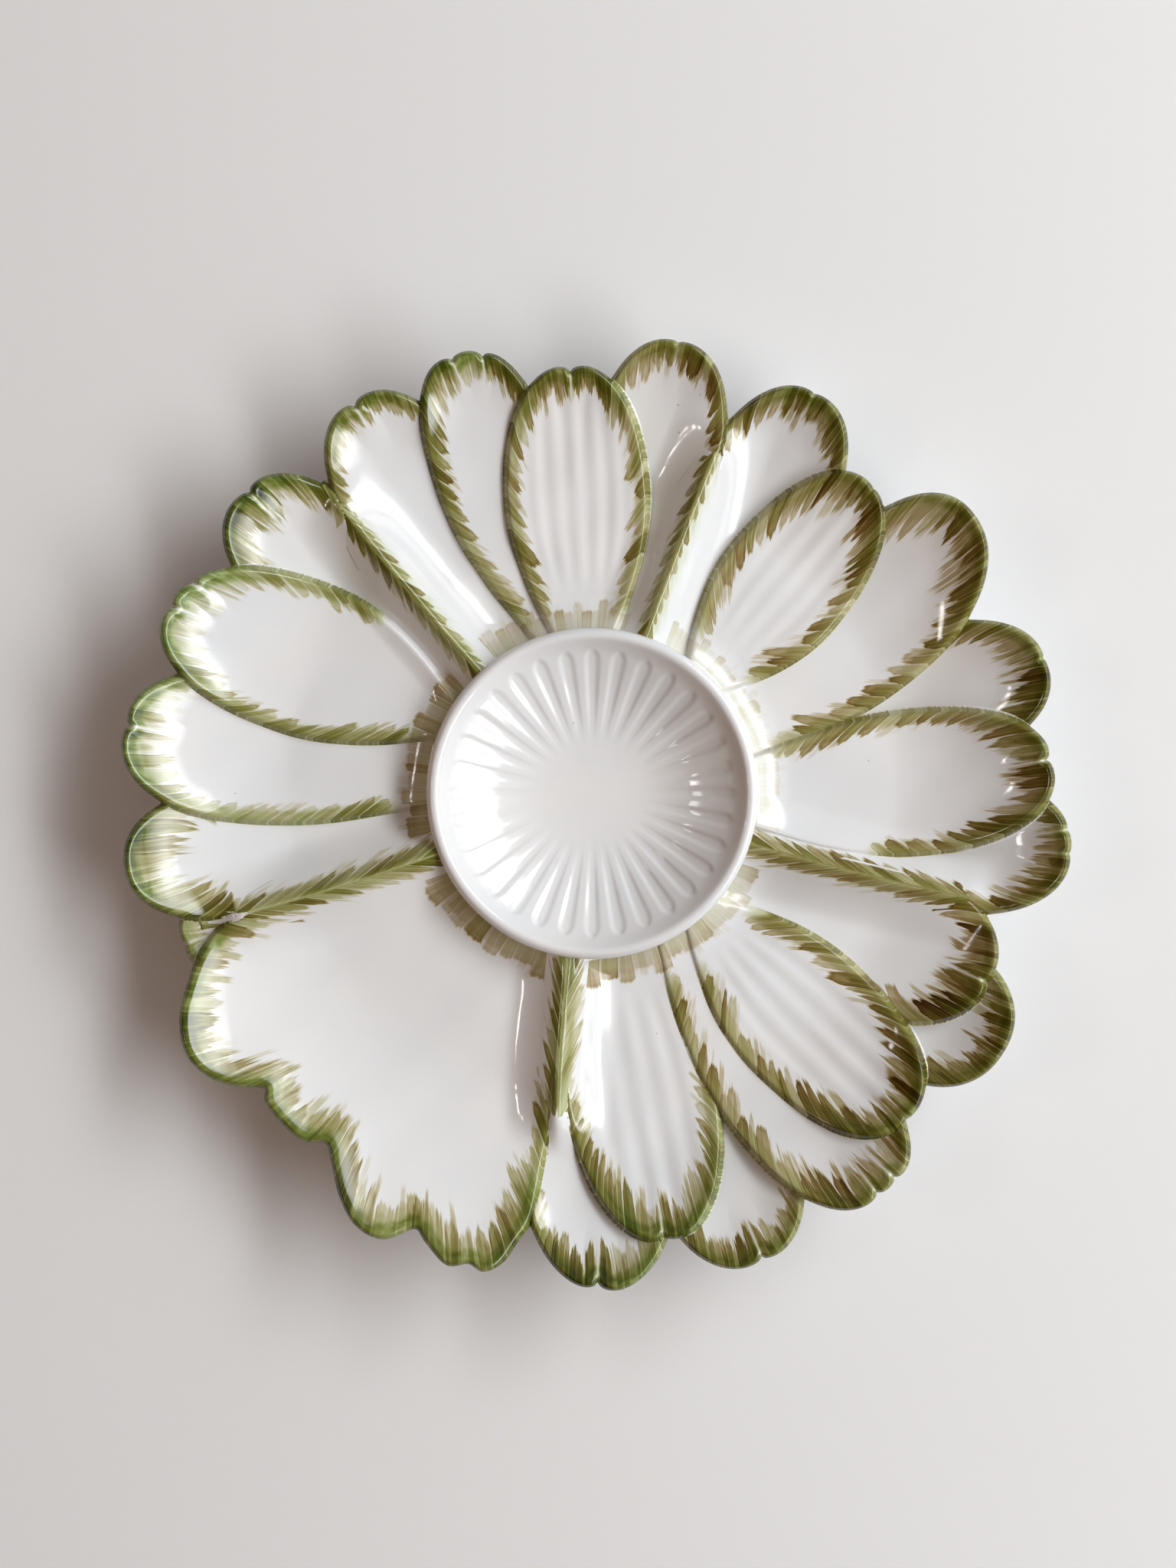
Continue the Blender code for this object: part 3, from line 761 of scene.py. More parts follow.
def rib_rows(rib, blades):
    """Grid of a rib's cap, which lies on the swollen edges of the leaves on both sides."""
    end = rib_cap_end(rib, blades)
    aside = RIB_CAP * np.linspace(-1, 1, RIB_COLUMNS)
    beside = np.abs(aside) / RIB_CAP
    lift = RIB_CAP_RISE - 2 * RIB_CAP_RISE * smooth_step(beside, *RIB_CAP_EDGE)
    blend = RIB_BLEND - RIB_BLEND_LOSS * smooth_step(beside, *RIB_BLEND_EDGE)
    rows = []
    asides = []
    for radius in np.linspace(WELL_RADIUS + RIB_CAP_START, end, RIB_ROWS):
        past = smooth_step(radius, end - 2 * RIB_FADE, end)
        across = aside * (1 - RIB_CAP_NARROWING * past)
        places = on_plan(rib_crest(rib, radius) + np.degrees(across / radius), radius)
        level = dish(radius) + WALL
        ridge = level + max(0, RIB_CREST - level) * rib_flank(rib, across, radius)
        found = highest(blades, places, RIB_SIDE_REACH)
        height = smooth_max(found, ridge, blend) + lift - RIB_END_DROP * past**RIB_END_CURVE
        height -= RIB_GROOVE * rib.groove * bell(across, RIB_GROOVE_BREADTH)
        rows.append(np.column_stack([places, height]))
        asides.append(across)
    return np.array(rows), np.array(asides)


def rib_strokes(rib, asides, radii):
    """Attributes like a leaf's, for strokes that start at a rib's crest."""
    left = asides > 0
    stroke = np.stack([
        (radii + RIB_LEAN * np.abs(asides)) / RIB_STROKE_WIDTH + SEED_STEP * (left + rib.reach),
        np.abs(asides),
        np.full_like(asides, RIB_RAGGED),
    ], axis=-1)
    slit = RIB_SLIT * rib.groove * bell(asides, 0.5 * RIB_GROOVE_BREADTH)
    slit *= 1 - smooth_step(radii, radii.max() - RIB_FADE, radii.max())
    length = np.where(left, rib.left_stroke, rib.right_stroke)
    paint = np.stack([length, rib.tone * (1 - slit), np.full_like(asides, rib.green)], axis=-1)
    slant = end_slant(RIB_LEAN, RIB_STROKE_WIDTH, length)
    return {"stroke": stroke, "paint": paint, "slant": slant}


def add_object(name, data):
    made = bpy.data.objects.new(name, data)
    bpy.context.scene.collection.objects.link(made)
    return made


def grid_mesh(name, points, wrap, brushwork):
    """Closed smooth mesh of a grid of points in metres, with the attributes of its brushwork."""
    rows, columns = points.shape[:2]
    corner = np.arange(rows * columns).reshape(rows, columns)
    if wrap:
        corner = np.concatenate([corner, corner[:, :1]], axis=1)
    faces = np.stack([corner[:-1, :-1], corner[1:, :-1], corner[1:, 1:], corner[:-1, 1:]], axis=-1)
    mesh = bpy.data.meshes.new(name)
    mesh.from_pydata(points.reshape(-1, 3).tolist(), [], faces.reshape(-1, 4).tolist())
    for key, values in brushwork.items():
        kind, field = ("FLOAT", "value") if values.ndim == 2 else ("FLOAT_VECTOR", "vector")
        layer = mesh.attributes.new(key, kind, "POINT")
        layer.data.foreach_set(field, values.astype(np.float32).ravel())
    close_mesh(mesh)
    return mesh


def shell_object(name, grid, brushwork, material, wrap=False):
    """Piece made of a grid of rows in millimetres from the well's axis."""
    mesh = grid_mesh(name, grid * MM + np.array([AXIS.x, AXIS.y, 0]), wrap, brushwork)
    mesh.materials.append(material)
    return add_object(name, mesh)


def is_folded(face):
    """Whether a face hangs on a crowded edge with one of its other edges free."""
    counts = [len(edge.link_faces) for edge in face.edges]
    return min(counts) == 1 and max(counts) > 2


def close_mesh(mesh):
    """Merges doubles, fills holes and turns the faces outwards; edges round a flat base are sharp."""
    work = bmesh.new()
    work.from_mesh(mesh)
    bmesh.ops.remove_doubles(work, verts=work.verts, dist=MERGE_DISTANCE)
    bmesh.ops.dissolve_degenerate(work, dist=SLIVER, edges=work.edges)
    folded = [face for face in work.faces if is_folded(face)]
    bmesh.ops.delete(work, geom=folded, context="FACES")
    bmesh.ops.holes_fill(work, edges=[edge for edge in work.edges if edge.is_boundary], sides=0)
    bmesh.ops.recalc_face_normals(work, faces=work.faces)
    for face in work.faces:
        face.smooth = True
    for edge in work.edges:
        below = any(face.normal.z < DOWNWARD for face in edge.link_faces)
        edge.smooth = not (below and edge.calc_face_angle(0) > BASE_CORNER)
    work.to_mesh(mesh)
    work.free()


# Well: section as (distance in from the wall, drop below the rim), from the wall's foot to the axis
WELL_SECTION = [
    (0, 12), (0, 8), (0, 3), (0.35, 1.2), (1.1, 0.3), (2, 0), (2.9, 0.2), (3.7, 0.8), (4.6, 1.7),
    (5.6, 2.6), (6.8, 3.5), (8.5, 4.5), (11, 5.95), (14, 7.55), (17, 9), (20, 10.25), (24, 11.5),
    (29, 12.5), (35, 13), (41, 13.15), (46, 13.2),
]
WELL_SECTION_STEPS = 6
FLUTES = 32
FLUTE_COLUMNS = 12
FLUTE_DEPTH = 0.38
FLUTE_INNER = 13
FLUTE_FADE = 18
FLUTE_OUTER = 40.6
FLUTE_END = 1.8

# Channels in the well: their sides on a wave from -1 to 1, and the tilt of what counts as facing up
CHANNEL_SIDES = (-0.6, 0.75)
FACING_UP = (0.1, 0.4)

# Foot ring
FOOT_BREADTH = 7
FOOT_ROUND = 1
FOOT_ROUND_STEPS = 4
FOOT_SEGMENTS = 192
BARE_FOOT = 0.9
BARE_FOOT_FADE = 0.4
BARE_FOOT_RAGGED = 0.6
BARE_FOOT_SCALE = 400.0
BISCUIT_ROUGHNESS = 0.8

# Band of strokes on the floor round the well
BAND_STROKES = 90
BAND_CROWDING = 0.4
BAND_NARROWEST = 75
BAND_LENGTH = 7.8
BAND_INSET = 0.2
BAND_TAPER = 0.15
BAND_SEAM = 201.2
BAND_RAGGED = 0.3
BAND_GREEN = 0.0
BAND_SHOWN = (UNPAINTED + 0.5, UNPAINTED + 2)
BAND_GAP = 2
LEAF_GAP = 0.75
RIB_GAP = 0.3
# Strength of the band as (bearing, strength)
BAND_STRENGTH = [
    (-158, 0.52), (-103, 0.55), (-98, 0.25), (-93, 0.48), (-72, 0.4), (-56, 0.34), (-22, 0.16),
    (-8, 0.12), (58, 0.14), (78, 0.22), (124, 0.26), (136, 0.43), (200, 0.42),
]

# Brush strokes in the glaze. A pace is in cycles a stroke and cycles a millimetre. A line is (value at
# zero, change). A span is (from, to), or (from, to, value before, value after). What runs along a stroke
# goes from 0 at the edge to 1 at its end, and what runs across it is in shares of its breadth.
DRIFT_PACE = (0.4, 0.04)
DRIFT = 0.9
BRISTLE_PACE = (7.0, 0.06)
HAIR_PACE = (17.0, 0.1)
HAIR_SEED = 7.0
HAIR_SHARE = 0.8
LANE_RANDOMNESS = 0.9
SHORTEST_STROKE = 0.3
POINTED_SPAN = (0.3, 1.0, 0.25, 1.0)
TRAILING_SPAN = (-0.08, 0.08)
NARROWING_SPAN = (0.0, 0.3, -0.3, 0.0)
LENGTH_LINE = (0.58, 0.45)
LENGTH_CHANCE = 0.5
LENGTH_ROUGHNESS = 0.6
LOAD_CURVE = 1.6
LOAD_LINE = (0.22, 0.88)
STREAK_LINE = (1.0, 0.6)
STREAK_ROUGHNESS = 0.8
LEAST_STREAK = 0.05
SIDE_OUTLINE = (0.02, 0.11, 0.4, 0.0)
END_OUTLINE = (0.8, 0.97, 0.0, 0.5)
BLUNTNESS = 1.25
INWARD_SPAN = (0.3, 0.95)
INWARD_GREEN = (0.72, -1.45)
BODY_GREEN = (0.78, 0.4)
GAP_SPAN = (0.04, 0.2, 1.0, 0.0)
GAP_GREEN = (0.4, 0.6)
BROAD_END = (0.9, 1.04, 1.0, 0.0)
WASH_LINE = (0.68, 0.9)
WASH_END = (0.85, 1.0, 0.2, 0.0)
WASH_GREEN = (1.0, -0.6)
FINE_LINE = (11.7, 2.0)
FINE_CHANCE = 0.75
FINE_LENGTH = (0.5, 0.6)
FINE_END = (0.85, 1.02, 1.0, 0.0)
FINE_SIDES = (0.02, 0.2)
FINE_RAGGED = (0.3, 0.6)
FINE_LOAD = 0.75
MOTTLE_PACE = (1.1, 0.45)
MOTTLE_SEED = 3.0
MOTTLE_SPAN = (0.3, 0.7, 0.35, 1.25)
POOL_BRISTLES = 2.4
POOL_SPAN = (2.2, 4.4, 1.0, 0.0)
POOL_RAGGED = (0.4, 1.0, 0.2, 1.0)
POOL_GREEN = (0.22, 0.62)
POOL_TONE = (0.0, 0.4)
POOL_DEEPNESS = (0.45, 0.55)
OVER_EDGE_BRISTLES = 1.2
OVER_EDGE_SPAN = (-1.5, -0.9)
BROWN_CHANCE = 0.5
BROWN_SPAN = (0.1, 1.0, 0.25, 0.85)
BROWN_GREEN = (1.0, -0.6)
STROKE_DEEPNESS = (0.4, 1.0, 0.45, 0.9)

# Skin of the glaze: scales are in cycles a metre, depth in metres
TINT_SCALE = 28.0
TINT_SPAN = (0.3, 0.7)
SPECK_SCALE = 170.0
SPECK_RARITY = (0.9, 0.93)
SPECK_SIZE = (0.03, 0.06, 1.0, 0.0)
SPECK_HEIGHT = -0.3
GLOSS_SCALE = 60.0
GLOSS_SPAN = (0.25, 0.75, 0.06, 0.12)
SWELL_SCALE = 120.0
PEEL_SCALE = 520.0
PEEL_SHARE = 0.12
SKIN_STRENGTH = 0.12
SKIN_DEPTH = 0.0006
GLAZE_IOR = 1.47
LEAF_SPECKS = 0.6
PLAIN_SPECKS = 0.4


def srgb(red, green, blue):
    """Linear colour of an 8-bit screen colour."""
    shares = (value / 255 for value in (red, green, blue))
    linear = [share / 12.92 if share <= 0.04045 else ((share + 0.055) / 1.055) ** 2.4 for share in shares]
    return (*linear, 1)


WHITE_GLAZE = srgb(222, 221, 220)
COOL_GLAZE = srgb(216, 217, 218)
BISCUIT = srgb(214, 203, 184)
SPECK = srgb(120, 104, 84)
# Share of red, green and blue that one full layer of each glaze colour lets through
DEEP_GREEN = (0.13, 0.235, 0.032, 1)
OLIVE = (0.30, 0.28, 0.07, 1)
BROWN = (0.275, 0.18, 0.06, 1)


class Value:
    """What a socket gives. Arithmetic with it adds Math nodes to its tree."""

    def __init__(self, wire, socket):
        self.wire = wire
        self.socket = socket

    def __add__(self, other):
        return self.wire.math("ADD", self, other)

    def __sub__(self, other):
        return self.wire.math("SUBTRACT", self, other)

    def __rsub__(self, other):
        return self.wire.math("SUBTRACT", other, self)

    def __mul__(self, other):
        return self.wire.math("MULTIPLY", self, other)

    def __truediv__(self, other):
        return self.wire.math("DIVIDE", self, other)

    def __pow__(self, other):
        return self.wire.math("POWER", self, other)

    def at_least(self, other):
        return self.wire.math("MAXIMUM", self, other)

    def at_most(self, other):
        return self.wire.math("MINIMUM", self, other)

    def line(self, at_zero, change):
        return self.wire.math("MULTIPLY_ADD", self, change, at_zero)


class Wiring:
    """Adds nodes to a tree. A socket or its value is linked to an input; anything else is set on it."""

    def __init__(self, tree):
        self.tree = tree

    def feed(self, socket, value):
        if isinstance(value, Value):
            value = value.socket
        if isinstance(value, bpy.types.NodeSocket):
            self.tree.links.new(value, socket)
        else:
            socket.default_value = value

    def add(self, kind, inputs=None, **settings):
        node = self.tree.nodes.new(kind)
        for key, value in settings.items():
            setattr(node, key, value)
        for key, value in (inputs or {}).items():
            self.feed(node.inputs[key], value)
        return node

    def value(self, kind, inputs=None, **settings):
        """First output of a new node."""
        return Value(self, self.add(kind, inputs, **settings).outputs[0])

    def math(self, operation, *values):
        return self.value("ShaderNodeMath", dict(enumerate(values)), operation=operation)

    def step(self, value, low, high, before=0.0, after=1.0):
        """Smooth change from one value to another over a span."""
        inputs = dict(enumerate((value, low, high, before, after)))
        return self.value("ShaderNodeMapRange", inputs, interpolation_type="SMOOTHSTEP")

    def join(self, x, y, z=0.0):
        return self.value("ShaderNodeCombineXYZ", {"X": x, "Y": y, "Z": z})

    def split(self, vector):
        outputs = self.add("ShaderNodeSeparateXYZ", {"Vector": vector}).outputs
        return [Value(self, socket) for socket in outputs]

    def object_place(self):
        return self.add("ShaderNodeTexCoord").outputs["Object"]

    def noise(self, vector, scale=1.0, detail=2.0, dimensions="3D"):
        inputs = {"Vector": vector, "Scale": scale, "Detail": detail}
        return self.value("ShaderNodeTexNoise", inputs, noise_dimensions=dimensions)

    def grain(self, count, depth, pace, seed=0.0, **settings):
        """Noise drawn out along the strokes."""
        return self.noise(self.join(count * pace[0], depth * pace[1], seed), **settings)

    def lanes(self, place, feature):
        """Voronoi cells of unlike breadth side by side, one for each stroke."""
        inputs = {"W": place, "Scale": 1.0, "Randomness": LANE_RANDOMNESS}
        return self.add("ShaderNodeTexVoronoi", inputs, voronoi_dimensions="1D", feature=feature).outputs

    def blend(self, share, first, second):
        node = self.add("ShaderNodeMix", data_type="RGBA")
        for key, value in (("Factor_Float", share), ("A_Color", first), ("B_Color", second)):
            self.feed(next(socket for socket in node.inputs if socket.identifier == key), value)
        return next(socket for socket in node.outputs if socket.identifier == "Result_Color")

    def tint(self, first, second):
        return self.value("ShaderNodeVectorMath", {0: first, 1: second}, operation="MULTIPLY")

    def stain(self, colour, load):
        """What a layer of a colour lets through: the thicker the layer, the deeper the colour."""
        return self.join(*(channel**load for channel in self.split(colour)))


def new_tree(name, kind, inputs, outputs):
    """Node tree with named sockets; gives its wiring, the values it is given and its result's sockets."""
    tree = bpy.data.node_groups.new(name, kind)
    for side, sockets in (("INPUT", inputs), ("OUTPUT", outputs)):
        for label, socket_kind in sockets.items():
            tree.interface.new_socket(label, in_out=side, socket_type="NodeSocket" + socket_kind)
    wire = Wiring(tree)
    given = {socket.name: Value(wire, socket) for socket in wire.add("NodeGroupInput").outputs}
    return wire, given, wire.add("NodeGroupOutput").inputs


def brush_stroke_group():
    """Strokes that start at an edge, as the share of each colour that their glaze lets through."""
    wire, given, result = new_tree(
        "brush strokes", "ShaderNodeTree",
        {"Stroke": "Vector", "Paint": "Vector", "Slant": "Float", "Taper": "Float", "Gap": "Float"},
        {"Filter": "Color"},
    )
    count, edge_depth, ragged = wire.split(given["Stroke"])
    length, tone, green = wire.split(given["Paint"])
    depth = edge_depth.at_least(0)
    drift = wire.grain(count, depth, DRIFT_PACE, dimensions="2D") - 0.5
    lane = drift.line(count, DRIFT)

    # Marks of single bristles, drawn out along the stroke
    bristle = wire.grain(lane, depth, BRISTLE_PACE, detail=3.0) - 0.5
    hair = wire.grain(lane, depth, HAIR_PACE, HAIR_SEED) - 0.5
    rough = hair.line(bristle, HAIR_SHARE) * ragged

    # Broad strokes: each has its own length and load of colour, a slanted end and darker outlines
    cells = wire.lanes(lane, "F1")
    chance, fade, tint = wire.split(cells["Color"])
    across = lane - cells["W"]
    border = wire.lanes(lane, "DISTANCE_TO_EDGE")["Distance"]
    trailing = wire.step(across, *TRAILING_SPAN)
    pointed = wire.step(ragged, *POINTED_SPAN)
    slope = across * given["Taper"] * pointed
    narrowing = wire.step(border, *NARROWING_SPAN) * given["Taper"]
    share = chance.line(slope.line(*LENGTH_LINE), LENGTH_CHANCE)
    share = across.line(share, given["Slant"]) + narrowing + rough * LENGTH_ROUGHNESS
    run = depth / (length * share).at_least(SHORTEST_STROKE)
    outline = wire.step(border, *SIDE_OUTLINE) * trailing
    outline = outline + wire.step(run, *END_OUTLINE) * (BLUNTNESS - pointed)
    inward = wire.step(run, *INWARD_SPAN) * green.line(*INWARD_GREEN)
    outline = outline + (inward + green.line(*BODY_GREEN))
    load = (fade**LOAD_CURVE).line(*LOAD_LINE)
    gap = wire.step(border, *GAP_SPAN) * (1 - trailing) * green.line(*GAP_GREEN)
    streak = rough.line(bristle.line(*STREAK_LINE), STREAK_ROUGHNESS)
    broad = wire.step(run, *BROAD_END) * (load * outline)
    broad = broad * (1 - gap * given["Gap"]) * streak.at_least(LEAST_STREAK)

    # Thin wash under the strokes, finer strokes over them, and colour that pools along the edge
    wash_end = length * rough.line(*WASH_LINE)
    wash_run = depth / wash_end.at_least(SHORTEST_STROKE)
    wash = wire.step(wash_run, *WASH_END) * green.line(*WASH_GREEN)
    fine_lane = lane.line(*FINE_LINE)
    fine_chance, fine_fade, _ = wire.split(wire.lanes(fine_lane, "F1")["Color"])
    fine_border = wire.lanes(fine_lane, "DISTANCE_TO_EDGE")["Distance"]
    fine_share = fine_chance.line(hair.line(*FINE_LENGTH), FINE_CHANCE)
    fine_run = depth / (length * fine_share).at_least(SHORTEST_STROKE)
    fine = wire.step(fine_run, *FINE_END) * wire.step(fine_border, *FINE_SIDES)
    fine = fine * ragged.line(*FINE_RAGGED) * (fine_fade * FINE_LOAD)
    mottle = wire.step(wire.grain(count, depth, MOTTLE_PACE, MOTTLE_SEED, detail=3.0), *MOTTLE_SPAN)
    pool = wire.step(bristle.line(depth, POOL_BRISTLES), *POOL_SPAN) * mottle
    pool = pool * wire.step(ragged, *POOL_RAGGED) * green.line(*POOL_GREEN)

    over_edge = wire.step(bristle.line(edge_depth, OVER_EDGE_BRISTLES), *OVER_EDGE_SPAN)
    stroke_load = (broad + wash + fine) * tone * over_edge
    pool_load = pool * wire.step(tone, *POOL_TONE) * over_edge
    brownness = tint.line(wire.step(run, *BROWN_SPAN), BROWN_CHANCE) * green.line(*BROWN_GREEN)
    deepness = green * wire.step(ragged, *STROKE_DEEPNESS)
    stroke_colour = wire.blend(brownness.at_most(1), wire.blend(deepness, OLIVE, DEEP_GREEN), BROWN)
    pool_colour = wire.blend(green.line(*POOL_DEEPNESS), OLIVE, DEEP_GREEN)
    strokes = wire.stain(stroke_colour, stroke_load)
    wire.feed(result["Filter"], wire.tint(strokes, wire.stain(pool_colour, pool_load)))
    return wire.tree


def well_band_group():
    """Stroke and paint values for the band of short strokes that stands round the well."""
    wire, given, result = new_tree(
        "well band", "ShaderNodeTree",
        {"Length": "Float", "Shown": "Float"},
        {"Stroke": "Vector", "Paint": "Vector"},
    )
    axis = (AXIS.x, AXIS.y, 0)
    centred = wire.value("ShaderNodeVectorMath", {0: wire.object_place(), 1: axis}, operation="SUBTRACT")
    turning = {"Vector": centred, "Angle": math.radians(180 - BAND_SEAM)}
    x, y, _ = wire.split(wire.value("ShaderNodeVectorRotate", turning, rotation_type="Z_AXIS"))
    depth = wire.math("SQRT", x * x + y * y).line(-WELL_RADIUS - BAND_INSET, 1 / MM)
    share = wire.math("ARCTAN2", y, x).line(0.5, 0.5 / math.pi)
    strength = wire.add("ShaderNodeValToRGB", {"Fac": share})
    stops = strength.color_ramp.elements
    while len(stops) < len(BAND_STRENGTH):
        stops.new(0.5)
    for stop, (bearing, value) in zip(stops, BAND_STRENGTH):
        stop.position = (bearing - BAND_SEAM + 360) / 360
        stop.color = (value, value, value, 1)
    from_narrowest = share.line(-math.radians(BAND_NARROWEST - BAND_SEAM), 2 * math.pi)
    crowding = wire.math("SINE", from_narrowest) * (BAND_CROWDING / (2 * math.pi))
    wire.feed(result["Stroke"], wire.join((share + crowding) * BAND_STROKES, depth, BAND_RAGGED))
    tone = given["Shown"] * strength.outputs["Color"]
    wire.feed(result["Paint"], wire.join(given["Length"], tone, BAND_GREEN))
    return wire.tree


def glaze_skin_group():
    """White tin glaze: slow changes of tint, rare specks, and the slight waviness of a fired skin."""
    wire, given, result = new_tree(
        "glaze skin", "ShaderNodeTree",
        {"Specks": "Float"},
        {"Color": "Color", "Roughness": "Float", "Height": "Float"},
    )
    place = wire.object_place()
    slow = wire.noise(place, TINT_SCALE, detail=3.0)
    white = wire.blend(wire.step(slow, *TINT_SPAN), WHITE_GLAZE, COOL_GLAZE)
    dots = wire.add("ShaderNodeTexVoronoi", {"Vector": place, "Scale": SPECK_SCALE}).outputs
    rare = wire.step(wire.split(dots["Color"])[0], *SPECK_RARITY)
    speck = wire.step(dots["Distance"], *SPECK_SIZE) * rare * given["Specks"]
    wire.feed(result["Color"], wire.blend(speck, white, SPECK))
    wire.feed(result["Roughness"], wire.step(wire.noise(place, GLOSS_SCALE), *GLOSS_SPAN))
    swell = wire.noise(place, SWELL_SCALE, detail=1.0)
    height = wire.noise(place, PEEL_SCALE, detail=1.0).line(swell, PEEL_SHARE)
    wire.feed(result["Height"], speck.line(height, SPECK_HEIGHT))
    return wire.tree


def new_material(name):
    """Material with a Principled shader; gives its wiring and the shader's inputs."""
    material = bpy.data.materials.new(name)
    material.use_nodes = True
    wire = Wiring(material.node_tree)
    shader = next(node for node in wire.tree.nodes if node.type == "BSDF_PRINCIPLED")
    return material, wire, shader.inputs


def glaze_skin(wire, shader, specks):
    """Puts the glaze's roughness and waviness on a shader, and gives the glaze's colour."""
    skin = wire.add("ShaderNodeGroup", {"Specks": specks}, node_tree=GLAZE_SKIN).outputs
    wire.feed(shader["Roughness"], skin["Roughness"])
    relief = {"Strength": SKIN_STRENGTH, "Distance": SKIN_DEPTH, "Height": skin["Height"]}
    wire.feed(shader["Normal"], wire.add("ShaderNodeBump", relief).outputs["Normal"])
    shader["IOR"].default_value = GLAZE_IOR
    return skin["Color"]


def brushed(wire, ground, strokes):
    """Colour of a ground with brush strokes over it."""
    return wire.tint(ground, wire.value("ShaderNodeGroup", strokes, node_tree=BRUSH_STROKES))


def painted_glaze(name, with_band):
    """White glaze with brush strokes along the piece's edges and, on leaves, round the well."""
    material, wire, shader = new_material(name)
    colour = glaze_skin(wire, shader, LEAF_SPECKS)
    read = {
        key: wire.add("ShaderNodeAttribute", attribute_name=key).outputs
        for key in ("stroke", "paint", "slant")
    }
    if with_band:
        shown = wire.step(wire.split(read["stroke"]["Vector"])[1], *BAND_SHOWN)
        given = {"Length": BAND_LENGTH, "Shown": shown}
        band = wire.add("ShaderNodeGroup", given, node_tree=WELL_BAND).outputs
        colour = brushed(wire, colour, {
            "Stroke": band["Stroke"], "Paint": band["Paint"],
            "Slant": 0.0, "Taper": BAND_TAPER, "Gap": BAND_GAP,
        })
    wire.feed(shader["Base Color"], brushed(wire, colour, {
        "Stroke": read["stroke"]["Vector"], "Paint": read["paint"]["Vector"],
        "Slant": read["slant"]["Fac"], "Taper": 1.0, "Gap": LEAF_GAP if with_band else RIB_GAP,
    }))
    return material


def well_glaze():
    material, wire, shader = new_material("well glaze")
    wire.feed(shader["Base Color"], glaze_skin(wire, shader, PLAIN_SPECKS))
    return material


def foot_glaze():
    """White glaze, wiped off the standing edge so that the bare biscuit shows."""
    material, wire, shader = new_material("foot glaze")
    colour = glaze_skin(wire, shader, PLAIN_SPECKS)
    place = wire.object_place()
    height = wire.noise(place, BARE_FOOT_SCALE).line(wire.split(place)[2], BARE_FOOT_RAGGED * MM)
    bare = wire.step(height, BARE_FOOT * MM, (BARE_FOOT + BARE_FOOT_FADE) * MM, 1.0, 0.0)
    wire.feed(shader["Base Color"], wire.blend(bare, colour, BISCUIT))
    glossy = shader["Roughness"].links[0].from_socket
    wire.feed(shader["Roughness"], (bare * BISCUIT_ROUGHNESS).at_least(glossy))
    return material


def new_geometry_tree(name, sizes):
    """Geometry Nodes tree with a geometry input, named sizes and a material."""
    inputs = {"Geometry": "Geometry", **sizes, "Finish": "Material"}
    return new_tree(name, "GeometryNodeTree", inputs, {"Geometry": "Geometry"})


def end_geometry_tree(wire, given, result, geometry):
    """Makes the geometry real and smooth, and gives it its finish."""
    real = wire.value("GeometryNodeRealizeInstances", {"Geometry": geometry})
    smooth = wire.value("GeometryNodeSetShadeSmooth", {"Geometry": real})
    finished = wire.value("GeometryNodeSetMaterial", {"Geometry": smooth, "Material": given["Finish"]})
    wire.feed(result["Geometry"], finished)


def fluted_bowl_tree():
    """Presses round-ended channels into the upward side of a turned bowl."""
    wire, given, result = new_geometry_tree("fluted bowl", {
        "Flutes": "Int", "Depth": "Float", "Inner Radius": "Float",
        "Fade": "Float", "Outer Radius": "Float", "End": "Float",
    })
    inner, outer, end = given["Inner Radius"], given["Outer Radius"], given["End"]
    x, y, _ = wire.split(wire.value("GeometryNodeInputPosition"))
    normal = wire.value("GeometryNodeInputNormal")
    radius = wire.math("SQRT", x * x + y * y)
    wave = wire.math("COSINE", wire.math("ARCTAN2", y, x) * given["Flutes"])
    channel = wire.step(wave, *CHANNEL_SIDES)
    starts = wire.step(radius, inner, inner + given["Fade"])
    ends = wire.step((1 - wave).line(radius, end), outer - end, outer, 1.0, 0.0)
    upward = wire.step(wire.split(normal)[2], *FACING_UP)
    depth = channel * starts * (ends * upward) * given["Depth"]
    offset = wire.value("ShaderNodeVectorMath", {0: normal, "Scale": depth * -1}, operation="SCALE")
    pressed = wire.value("GeometryNodeSetPosition", {"Geometry": given["Geometry"], "Offset": offset})
    end_geometry_tree(wire, given, result, pressed)
    return wire.tree


def turned_ring_tree():
    """A ring with rounded corners, turned round the origin and standing on the floor."""
    wire, given, result = new_geometry_tree("turned ring", {
        "Radius": "Float", "Breadth": "Float", "Height": "Float", "Round": "Float", "Segments": "Int",
    })
    breadth, height = given["Breadth"], given["Height"]
    circle = {"Resolution": given["Segments"], "Radius": breadth.line(given["Radius"], -0.5)}
    path = wire.value("GeometryNodeCurvePrimitiveCircle", circle)
    section = wire.value("GeometryNodeCurvePrimitiveQuadrilateral", {"Width": breadth, "Height": height})
    rounding = {"Curve": section, "Radius": given["Round"], "Count": FOOT_ROUND_STEPS}
    rounded = wire.value("GeometryNodeFilletCurve", rounding, mode="POLY")
    ring = wire.value("GeometryNodeCurveToMesh", {"Curve": path, "Profile Curve": rounded})
    lift = wire.join(0.0, 0.0, height * 0.5)
    stood = wire.value("GeometryNodeTransform", {"Geometry": ring, "Translation": lift})
    end_geometry_tree(wire, given, result, stood)
    return wire.tree


